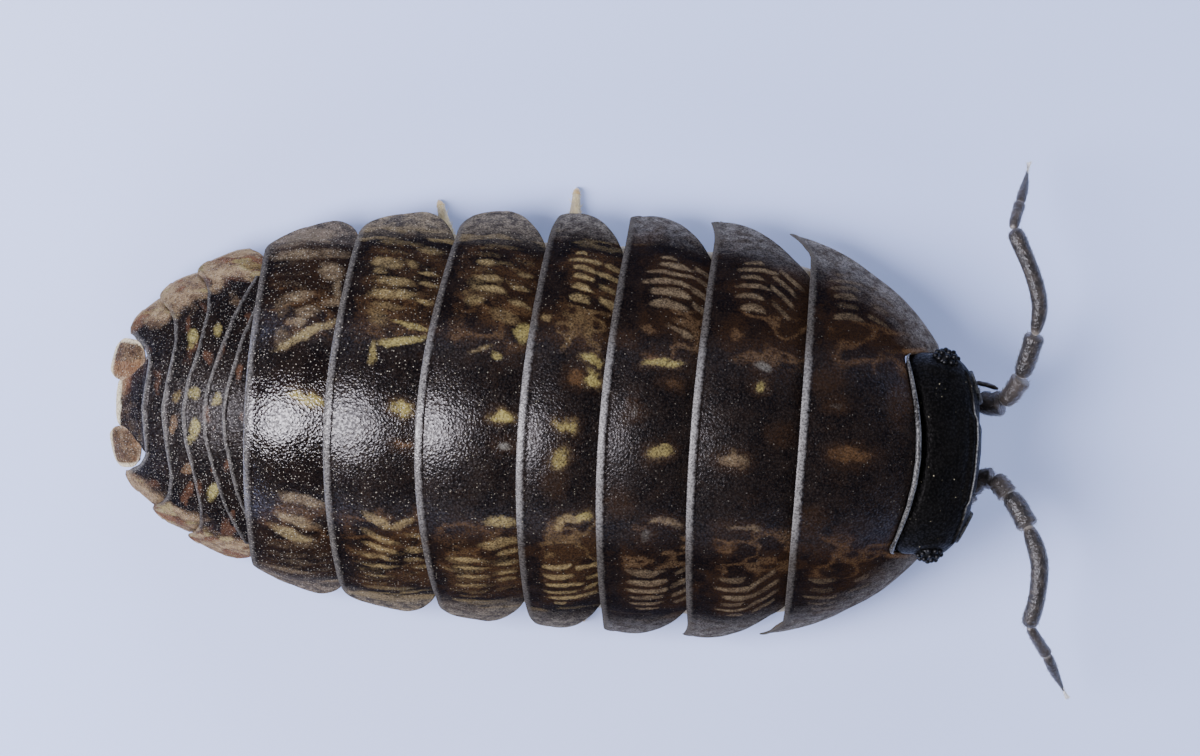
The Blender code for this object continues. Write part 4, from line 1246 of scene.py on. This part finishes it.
limbShell = {"dark": "1D1B1A", "mid": "3A3430", "pale": "8F887E", "joint": "A8A5A0", "white": "E4E1DA",
             "cloud": "574E46", "hair": "55504A", "sheen": "D8D8D8"}


# Thin clear chitin over dark contents: a dark core that pales at the joints, glossy, with a soft pale
# edge.
def limbMaterial(name, roughness, limbShell=limbShell):
    material, add = newMaterial(name)
    tone = add("ShaderNodeAttribute", attribute_name="tone")
    hair = add("ShaderNodeAttribute", attribute_name="hair")
    share = add("ShaderNodeMapRange", {"Value": (tone, 2), 1: -0.5, 2: 1.0})
    ramp = add("ShaderNodeValToRGB", {"Fac": (share, 0)})
    stops = ramp.color_ramp.elements
    stops[0].position, stops[1].position = 0.0, 1.0
    stops[0].color = toLinear(limbShell["white"])
    stops[1].color = toLinear(limbShell["dark"])
    for position, key in ((0.167, "joint"), (0.333, "pale"), (0.667, "mid")):
        stops.new(position).color = toLinear(limbShell[key])
    colour, _, place = cloudyColour(add, 7000.0, 4.0, (0.45, 0.7), 0.4, (ramp, 0), limbShell["cloud"])
    colour = add("ShaderNodeMix", {0: (hair, 2), 6: (colour, 2), 7: limbShell["hair"]},
                 data_type="RGBA")
    fine = add("ShaderNodeTexNoise", {"Vector": (place, "Object"), "Scale": 16000.0, "Detail": 3.0})
    bump = add("ShaderNodeBump", {"Height": (fine, 0), "Strength": 0.9, "Distance": 0.04 * mm})
    skin = add("ShaderNodeBsdfPrincipled", {
        "Base Color": (colour, 2), "Roughness": roughness, "IOR": chitinIor, "Normal": (bump, 0),
        "Sheen Weight": 0.6, "Sheen Roughness": 0.25, "Sheen Tint": limbShell["sheen"]})
    add("ShaderNodeOutputMaterial", {"Surface": (skin, 0)})
    return material


feelerMaterial = limbMaterial("ClearChitinFeeler", 0.3)
legMaterial = limbMaterial("ThinChitinLeg", 0.36,
                           dict(limbShell, pale="BDAD84", joint="BBB196", hair="C9BD95"))
tubeTree = hairyTubeTree()

# Feelers: stops in millimetres from the body's middle, near girth, far girth and tone of each piece
feelers = {
    "antenna_left": [
        ([(8.12, 1.08, 1.96), (8.48, 1.02, 2.01)], 0.2, 0.23, 0.4),
        ([(8.46, 1.04, 2.0), (8.72, 0.95, 2.08), (8.95, 1.0, 2.18)], 0.21, 0.25, 0.85),
        ([(8.95, 1.0, 2.19), (9.12, 1.2, 2.27), (9.3, 1.52, 2.4)], 0.17, 0.21, 0.55),
        ([(9.28, 1.55, 2.41), (9.38, 1.9, 2.52), (9.5, 2.42, 2.7)], 0.18, 0.205, 0.95),
        ([(9.5, 2.42, 2.7), (9.55, 3.0, 2.8), (9.37, 3.62, 2.8), (8.95, 4.46, 2.58)], 0.155, 0.17, 0.9),
        ([(8.93, 4.47, 2.56), (8.98, 4.72, 2.4), (9.04, 4.95, 2.18)], 0.105, 0.12, 0.7),
        ([(9.04, 4.94, 2.19), (9.12, 5.3, 1.82), (9.16, 5.55, 1.55)], 0.11, 0.07, 0.8),
    ],
    "antenna_right": [
        ([(8.25, -1.02, 1.96), (8.45, -0.8, 2.0)], 0.2, 0.22, 0.35),
        ([(8.42, -0.82, 1.99), (8.62, -0.56, 2.06), (8.88, -0.5, 2.15)], 0.19, 0.21, 0.8),
        ([(8.87, -0.5, 2.15), (9.02, -0.62, 2.21), (9.19, -0.8, 2.29)], 0.19, 0.21, 0.5),
        ([(9.18, -0.79, 2.3), (9.4, -1.03, 2.43), (9.62, -1.38, 2.58)], 0.19, 0.22, 0.95),
        ([(9.61, -1.36, 2.58), (9.87, -2.01, 2.8), (9.88, -2.71, 2.78), (9.76, -3.34, 2.56)],
         0.18, 0.175, 0.9),
        ([(9.76, -3.33, 2.54), (9.95, -3.62, 2.36), (10.16, -3.92, 2.12)], 0.1, 0.125, 0.7),
        ([(10.15, -3.91, 2.13), (10.36, -4.32, 1.8), (10.55, -4.66, 1.5)], 0.12, 0.07, 0.8),
    ],
}
# the brush that ends each feeler: sideways lean of its hairs, length, root and tip girth
brush = {"leans": (-0.16, -0.1, -0.04, 0.0, 0.05, 0.11, 0.17), "long": 0.26, "girths": (0.024, 0.006)}
# a slim muscle band that shows beside the left feeler's second piece
muscleBand = {"stops": ((8.36, 1.36, 2.02), (8.62, 1.33, 2.1), (8.86, 1.27, 2.16)),
              "places": [0, 0.2, 0.8, 1], "girths": [0.02, 0.05, 0.05, 0.02], "points": 12, "tone": 0.8}
feelerHairs = {"Sides": 22, "Hairs per square metre": 1.6e8, "Hair length": 0.00007,
               "Hair girth": 0.000005, "Hair lean": 1.6, "Seed": 7, "Material": feelerMaterial}


# A point in the photo's own axes, off the spine's curve.
def freePoint(place):
    x, y, z = place
    return np.array([x - body["centreX"], y - body["centreY"], z]) * mm


def makeFeeler(node, name):
    paths = []
    last = len(feelers[node]) - 1
    for k, (stops, near, far, tone) in enumerate(feelers[node]):
        placed = [freePoint(p) for p in stops]
        paths.append(articlePath(placed, near, far, tone, 40, pointed=k == last))
    tip = placed[-1]
    way = (tip - placed[-2]) / np.linalg.norm(tip - placed[-2])
    for lean in brush["leans"]:
        bend = np.array([lean, 0.4 * lean, 0.5 * lean])
        run = np.array([tip + (way + bend) * f * brush["long"] * mm for f in np.linspace(-0.3, 1, 8)])
        paths.append((run, np.linspace(*brush["girths"], 8), np.full(8, -0.5)))
    if node == "antenna_left":
        count = muscleBand["points"]
        girth = np.interp(np.linspace(0, 1, count), muscleBand["places"], muscleBand["girths"])
        band = smoothPath([freePoint(p) for p in muscleBand["stops"]], count)
        paths.append((band, girth, np.full(count, muscleBand["tone"])))
    piece = runTree(tubeTree, pathCarrier(paths), feelerHairs, name)
    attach(piece, "root")
    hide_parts(node)


print("feelers")
makeFeeler("antenna_left", "feelerLeft")
makeFeeler("antenna_right", "feelerRight")


# Geometry Nodes: a mound covered with small round lenses, one at each point of a fine ball
def lensMoundTree():
    tree, add, given = newTree("lensMound", (("Lens radius", "Float", 0.00007),))
    lens = add("GeometryNodeMeshIcoSphere", {"Radius": (given, "Lens radius"), "Subdivisions": 3})
    lenses = add("GeometryNodeInstanceOnPoints", {"Points": (given, "Geometry"), "Instance": (lens, 0)})
    return finishTree(tree, add, given, ((given, "Geometry"), (lenses, 0)), soft=True)


# A smooth chitin surface with a faint cloudiness, for eyes, claws and jaw tips.
def glossMaterial(name, colour, roughness, glow, gloss=0.5):
    material, add = newMaterial(name)
    tint, cloud, _ = cloudyColour(add, 9000.0, 3.0, (0.4, 0.7), 1.0, colour, glow)
    rough = add("ShaderNodeMapRange",
                {"Value": (cloud, 0), 1: 0.3, 2: 0.7, 3: roughness, 4: roughness + 0.08})
    skin = add("ShaderNodeBsdfPrincipled", {
        "Base Color": (tint, 2), "Roughness": (rough, 0), "IOR": chitinIor, "Specular IOR Level": gloss})
    add("ShaderNodeOutputMaterial", {"Surface": (skin, 0)})
    return material


eyeMaterial = glossMaterial("ClearBlackEyeLens", "040405", 0.42, "08080A", 0.3)
clawMaterial = glossMaterial("AmberClaw", "B39C6A", 0.3, "86683C")


def makeEye(side, name, node):
    ball = bmesh.new()
    bmesh.ops.create_icosphere(ball, subdivisions=2, radius=1)
    points, faces = arraysOf(ball)
    cx, cy, cz = headPlan["eye"]
    hx, hy, hz = headPlan["eyeHalf"]
    placed = toWorld(cx + hx * points[:, 0], side * (cy + hy * points[:, 1]), cz + hz * points[:, 2])
    core = meshFrom("eyeCore", placed, faces, eyeMaterial)
    settings = {"Lens radius": headPlan["lens"] * mm, "Material": eyeMaterial}
    piece = runTree(lensTree, core, settings, name)
    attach(piece, "root")
    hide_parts(node)


print("eyes")
lensTree = lensMoundTree()
makeEye(1, "eyeLeft", "eye_left")
makeEye(-1, "eyeRight", "eye_right")


# The two dark discs with raised rims ahead of the eyes, which shield the feelers' roots.
def makeLobes():
    rings, around = headPlan["lobeGrid"]
    share = np.linspace(0.02, 1, rings)
    depth = np.interp(share, [0, 0.55, 0.78, 0.88, 0.95, 1.0], [0.62, 0.55, 0.42, 0.62, 0.45, -0.6])
    points, quads, corners = [], [], []
    for side in (1, -1):
        start = len(points)
        for r, d in zip(share, depth):
            for k in range(around):
                angle = 2 * math.pi * k / around
                squash = 1 - 0.12 * math.cos(2 * angle)
                points.append((d * 2, r * math.cos(angle) * squash, r * math.sin(angle), side))
        quads += gridFaces(rings, around, start).tolist()
        for r in range(rings - 1):
            ring = start + r * around
            quads.append([ring + around - 1, ring, ring + around, ring + 2 * around - 1])
        # the middles of the front and of the back
        centre = len(points)
        points += [(depth[0] * 2, 0, 0, side), (depth[-1] * 2, 0, 0, side)]
        outermost = start + (rings - 1) * around
        for k in range(around):
            following = (k + 1) % around
            corners.append([centre, start + following, start + k])
            corners.append([centre + 1, outermost + k, outermost + following])
    points = np.array(points)
    cx, cy, cz = headPlan["lobe"]
    x, y, z = (points[:, :3] * headPlan["lobeHalf"]).T
    turn = math.radians(headPlan["lobeTurn"])
    s = cx + x * math.cos(turn) - y * math.sin(turn)
    t = points[:, 3] * (cy + x * math.sin(turn) + y * math.cos(turn))
    mesh = bpy.data.meshes.new("lobes")
    mesh.from_pydata(toWorld(s, t, cz + z).tolist(), [], quads + corners)
    shape = bmesh.new()
    shape.from_mesh(mesh)
    bmesh.ops.recalc_face_normals(shape, faces=shape.faces)
    shape.to_mesh(mesh)
    shape.free()
    mesh.shade_smooth()
    mesh.materials.append(headMaterial)
    piece = newObject("feelerLobes", mesh)
    radius = np.hypot(points[:, 1], points[:, 2])
    giveAttribute(piece, "lip", 0.2 * np.exp(-((radius - 0.9) / 0.06) ** 2))
    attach(piece, "root")
    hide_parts("head")


makeLobes()

rimMaterial = cuticleMaterial("SilveryChitinRim", 0.9, roughness=0.35, coat=0.2,
                              shell=dict(shell, base="1A1918", brown="605F5C", speck="8C8B87"))


# The bright raised line behind the head, stronger in the middle and near the right corner.
def makeHeadRim():
    reach, count = headPlan["rimReach"], headPlan["rimPoints"]
    u = np.linspace(-reach, reach, count)
    s = softCurve(u, platePlan["neck"]) + 0.035
    t, z = archPoint(s, u)
    fade = np.sqrt(np.maximum(0.02, 1 - (np.abs(u) / reach) ** 14))
    fade = fade * (0.65 + 0.6 * (1 - (u / reach) ** 2))
    fade = fade + 0.5 * np.exp(-((u + 0.55) / 0.03) ** 2)
    path = (toWorld(s, t, z + 0.015), headPlan["rim"] * fade, np.full(count, 0.08))
    piece = runTree(tubeTree, pathCarrier([path]), {"Sides": 16, "Material": rimMaterial}, "headRearRim")
    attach(piece, "root")
    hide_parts("head")


makeHeadRim()

# Legs: seven pairs, each of basis, ischium, merus, carpus, propodus and claw, following the CAD legs
legs = {
    "roots": [5.55, 3.7, 2.05, 0.3, -1.5, -3.35, -5.0], "rootSide": 1.55, "rootHigh": 1.62, "knee": 1.12,
    # each foot: how far ahead of its root, and how far out
    "left": [(0.95, 2.75), (0.1, 3.45), (0.6, 3.4), (0.03, 4.52), (-0.84, 4.12), (-0.2, 3.3),
             (-0.5, 2.85)],
    "right": [(0.45, 2.95), (0.75, 3.3), (-0.15, 3.5), (0.69, 4.03), (-0.25, 3.5), (-0.75, 3.25),
              (-0.2, 2.9)],
    # a foot farther out than this is held lower over its last pieces
    "far": 3.6,
    # piece: from and to along the leg's way, near and far girth, tone
    "pieces": [(0.0, 0.4, 0.2, 0.23, 0.3), (0.39, 0.53, 0.2, 0.21, 0.26),
               (0.52, 0.63, 0.19, 0.2, 0.22), (0.62, 0.76, 0.175, 0.17, 0.18),
               (0.75, 0.955, 0.15, 0.07, 0.1)],
    # claw: where it begins, its girths and their places, tone
    "claw": (0.93, [0.05, 0.085, 0.065, 0.035, 0.012], [0, 0.15, 0.5, 0.85, 1], 0.6),
    "steps": 239,
}
legHairs = {"Sides": 16, "Hairs per square metre": 1.0e8, "Hair length": 0.00012,
            "Hair girth": 0.000007, "Hair lean": 1.4, "Material": legMaterial}


def makeLeg(number, label, side):
    ahead, out = legs[label][number]
    far = out > legs["far"]
    root, rootSide, knee = legs["roots"][number], legs["rootSide"], legs["knee"]
    # share of the way ahead, distance to the side, height
    stops = [(0.0, rootSide, legs["rootHigh"] + 0.14), (0.0, rootSide + 0.06, legs["rootHigh"] - 0.1),
             (0.12, rootSide + 0.55, knee + 0.06), (0.3, rootSide + 0.95, knee - 0.1),
             (0.52, rootSide + 0.53 * (out - rootSide), 0.66 if far else 0.82),
             (0.75, rootSide + 0.74 * (out - rootSide), 0.36 if far else 0.5),
             (0.94, out - 0.14, 0.22), (1.0, out - 0.01, 0.075), (1.01, out + 0.02, 0.03)]
    stops = [toWorld(root + ahead * share, side * t, z) for share, t, z in stops]
    steps = legs["steps"]
    way = smoothPath(stops, steps + 1)
    paths = []
    for start, end, near, farGirth, tone in legs["pieces"]:
        part = way[int(start * steps):int(end * steps) + 1:3]
        paths.append(articlePath(part, near, farGirth, tone, 26))
    piece = runTree(tubeTree, pathCarrier(paths), dict(legHairs, Seed=20 + number),
                    "leg%s%d" % (label.capitalize(), number + 1))
    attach(piece, "root")
    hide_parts("leg_%s_%d" % (label, number + 1))
    start, girths, places, tone = legs["claw"]
    tip = way[int(start * steps):]
    girth = np.interp(np.linspace(0, 1, len(tip)), places, girths)
    clawPaths.append((tip, girth, np.full(len(tip), tone)))


print("legs")
clawPaths = []
for number in range(7):
    makeLeg(number, "left", 1)
    makeLeg(number, "right", -1)
claws = runTree(tubeTree, pathCarrier(clawPaths), {"Sides": 12, "Material": clawMaterial}, "claws")
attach(claws, "root")


# Belly: seven soft cross bands with grooves between them, and round pads where the legs grow out
belly = {
    "front": 6.95, "rear": -5.45, "reach": 0.8, "inset": 0.78, "high": 1.86, "rows": 260, "columns": 121,
    # width and depth: grooves between the bands; pads along, across and depth; the bands' swell
    "groove": (0.1, 0.09), "pad": (0.42, 0.36, 0.14), "band": (0.55, 1.1, 0.1),
    "skin": "B9AC92", "shade": "6E604E",
}


# Thin soft cuticle over pale flesh: cloudy, matt to satin, with a fine net of creases 0.1 mm apart.
def softSkinMaterial(name, skin, shade, roughness):
    material, add = newMaterial(name)
    colour, _, place = cloudyColour(add, 2200.0, 5.0, (0.42, 0.68), 0.55, skin, shade)
    for key, tone in (("dark", "3A2E24"), ("white", "EFEDE4")):
        share = add("ShaderNodeAttribute", attribute_name=key)
        colour = add("ShaderNodeMix", {0: (share, 2), 6: (colour, 2), 7: tone}, data_type="RGBA")
    creases = add("ShaderNodeTexVoronoi", {"Vector": (place, "Object"), "Scale": 9000.0})
    bump = add("ShaderNodeBump",
               {"Height": (creases, "Distance"), "Strength": 0.25, "Distance": 0.02 * mm})
    flesh = add("ShaderNodeBsdfPrincipled", {
        "Base Color": (colour, 2), "Roughness": roughness, "IOR": 1.45, "Normal": (bump, 0),
        "Subsurface Weight": 0.25, "Subsurface Scale": 0.3 * mm, "Subsurface Radius": (1.0, 0.7, 0.5)})
    add("ShaderNodeOutputMaterial", {"Surface": (flesh, 0)})
    return material


bellyMaterial = softSkinMaterial("SoftPaleBellySkin", belly["skin"], belly["shade"], 0.42)


def makeBelly():
    v = np.linspace(0, 1, belly["rows"])[:, None]
    u = np.linspace(-1, 1, belly["columns"])[None, :]
    s = belly["front"] + (belly["rear"] - belly["front"]) * v + 0 * u
    uu = u + 0 * v
    t, z = archPoint(s, belly["reach"] * uu)
    end = np.minimum(1, np.minimum(v, 1 - v) / 0.03)
    z = np.maximum(belly["high"] + 0.1, z - belly["inset"] - 0.1 * (1 - end)) + 0 * uu
    t = t * (1 - 0.1 * (1 - end))
    seams = [(a + b) / 2 for a, b in zip(legs["roots"][:-1], legs["roots"][1:])]
    grooveWide, grooveDeep = belly["groove"]
    padLong, padWide, padDeep = belly["pad"]
    bandLong, bandWide, bandDeep = belly["band"]
    groove = sum(np.exp(-((s - c) / grooveWide) ** 2) for c in seams)
    side = np.abs(t)
    pads = sum(softBump(s, side, c, legs["rootSide"], padLong, padWide) for c in legs["roots"])
    band = sum(np.exp(-((s - c) / bandLong) ** 2) for c in legs["roots"])
    band = band * np.exp(-(side / bandWide) ** 4)
    wrinkle = layeredNoise(s * 4, t * 3, 401) - 0.5
    low = belly["high"] + 0 * s
    low = low - bandDeep * band - padDeep * pads + grooveDeep * groove + 0.03 * wrinkle
    low = low + 0.25 * smooth(1.9, 2.6, side) ** 2 + 0.2 * (1 - end)
    low = np.minimum(low, z - 0.05)
    dark = 0.5 * groove.clip(0, 1) * np.exp(-(side / 2.2) ** 2) + 0.35 * smooth(2.0, 2.8, side)
    piece = closedShell("bellySkin", toWorld(s, t, z), toWorld(s, 0.93 * t, low),
                        {"dark": (0.3 + 0 * s, dark)}, bellyMaterial)
    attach(piece, "root")
    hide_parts("trunk")


print("belly, gills and jaws")
makeBelly()

# Gill flaps: five pairs of thin overlapping plates under the tail; the first two hold white air lungs
gills = {"first": -6.06, "step": -0.37, "half": (0.5, 0.7), "shrink": 0.05, "side": 0.71,
         "inward": 0.04, "high": 1.42, "drop": 0.03, "thick": 0.07, "cells": 61, "square": 0.5,
         "lung": (-0.35, 0.45, 0.42, 0.42)}
gillMaterial = softSkinMaterial("ThinGillFlap", "B4A688", "8A7C66", 0.35)


def makeGills():
    p, q, x, y = roundedSquare(gills["cells"], gills["square"], 2)
    rim = smooth(0.8, 1.0, np.maximum(np.abs(p), np.abs(q)))
    thick = gills["thick"] * (1 - 0.7 * rim)
    halfLong, halfWide = gills["half"]
    for pair in range(5):
        s = gills["first"] + gills["step"] * pair + halfLong * x
        t = gills["side"] - gills["inward"] * pair + (halfWide - gills["shrink"] * pair) * y
        z = gills["high"] - gills["drop"] * pair + 0.34 * x - 0.16 * y ** 2 + 0.05 * (1 - x ** 2)
        lung = 0.75 * smooth(0.25, 0.6, (pair < 2) * softBump(x, y, *gills["lung"]))
        for side, label in ((1, "Left"), (-1, "Right")):
            upper = toWorld(s, side * t, z + thick / 2)
            lower = toWorld(s, side * t, z - thick / 2 - 0.01 * layeredNoise(s * 6, t * 6, 410 + pair))
            piece = closedShell("gill%s%d" % (label, pair + 1), upper, lower,
                                {"dark": (0.4 * rim, 0.35 * rim), "white": (lung, lung)}, gillMaterial)
            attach(piece, "root")
            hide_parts("gill_plates")


makeGills()


# Jaws: upper lip, dark-tipped mandibles and the two broad jaw-foot plates with their palps
jaws = [
    # centre (along, side, high), half sizes, lean along, material key
    ((8.15, 0.0, 1.56), (0.16, 0.44, 0.16), 0.0, "skin"),
    ((8.02, 0.3, 1.33), (0.2, 0.28, 0.2), -0.15, "skin"),
    ((8.14, 0.1, 1.24), (0.07, 0.1, 0.11), -0.1, "tip"),
    ((7.48, 0.37, 1.06), (0.52, 0.37, 0.15), 0.12, "skin"),
    ((7.98, 0.29, 1.1), (0.2, 0.13, 0.09), -0.2, "skin"),
    ((7.98, 0.56, 1.14), (0.16, 0.1, 0.08), -0.2, "skin"),
    ((7.52, 0.78, 1.2), (0.44, 0.16, 0.18), 0.1, "skin"),
    ((7.1, 0.0, 1.32), (0.34, 0.7, 0.26), 0.0, "skin"),
]
jawMaterial = softSkinMaterial("TanJawChitin", "6E5E48", "35291E", 0.36)
jawTipMaterial = glossMaterial("HardBrownJawTip", "2C1D12", 0.3, "120B06")


def makeJaws():
    sphere, faces = cubeSphere(26)
    groups = {"skin": ([], []), "tip": ([], [])}
    for (cx, cy, cz), (hx, hy, hz), lean, key in jaws:
        for side in ((1, -1) if cy else (1,)):
            points, quads = groups[key]
            x, y, z = sphere.T
            s = cx + hx * boxy(x, 0.8) + lean * hz * z
            t = side * (cy + hy * boxy(y, 0.85))
            high = cz + hz * z + 0.02 * layeredNoise(s * 5, t * 5, 420)
            start = sum(len(p) for p in points)
            points.append(toWorld(s, t, high))
            quads.append((faces if side == 1 else faces[:, ::-1]) + start)
    for key, name, material in (("skin", "jaws", jawMaterial), ("tip", "jawTips", jawTipMaterial)):
        points, quads = groups[key]
        piece = meshFrom(name, np.concatenate(points), np.concatenate(quads), material)
        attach(piece, "root")
        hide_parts("mouthparts")


makeJaws()
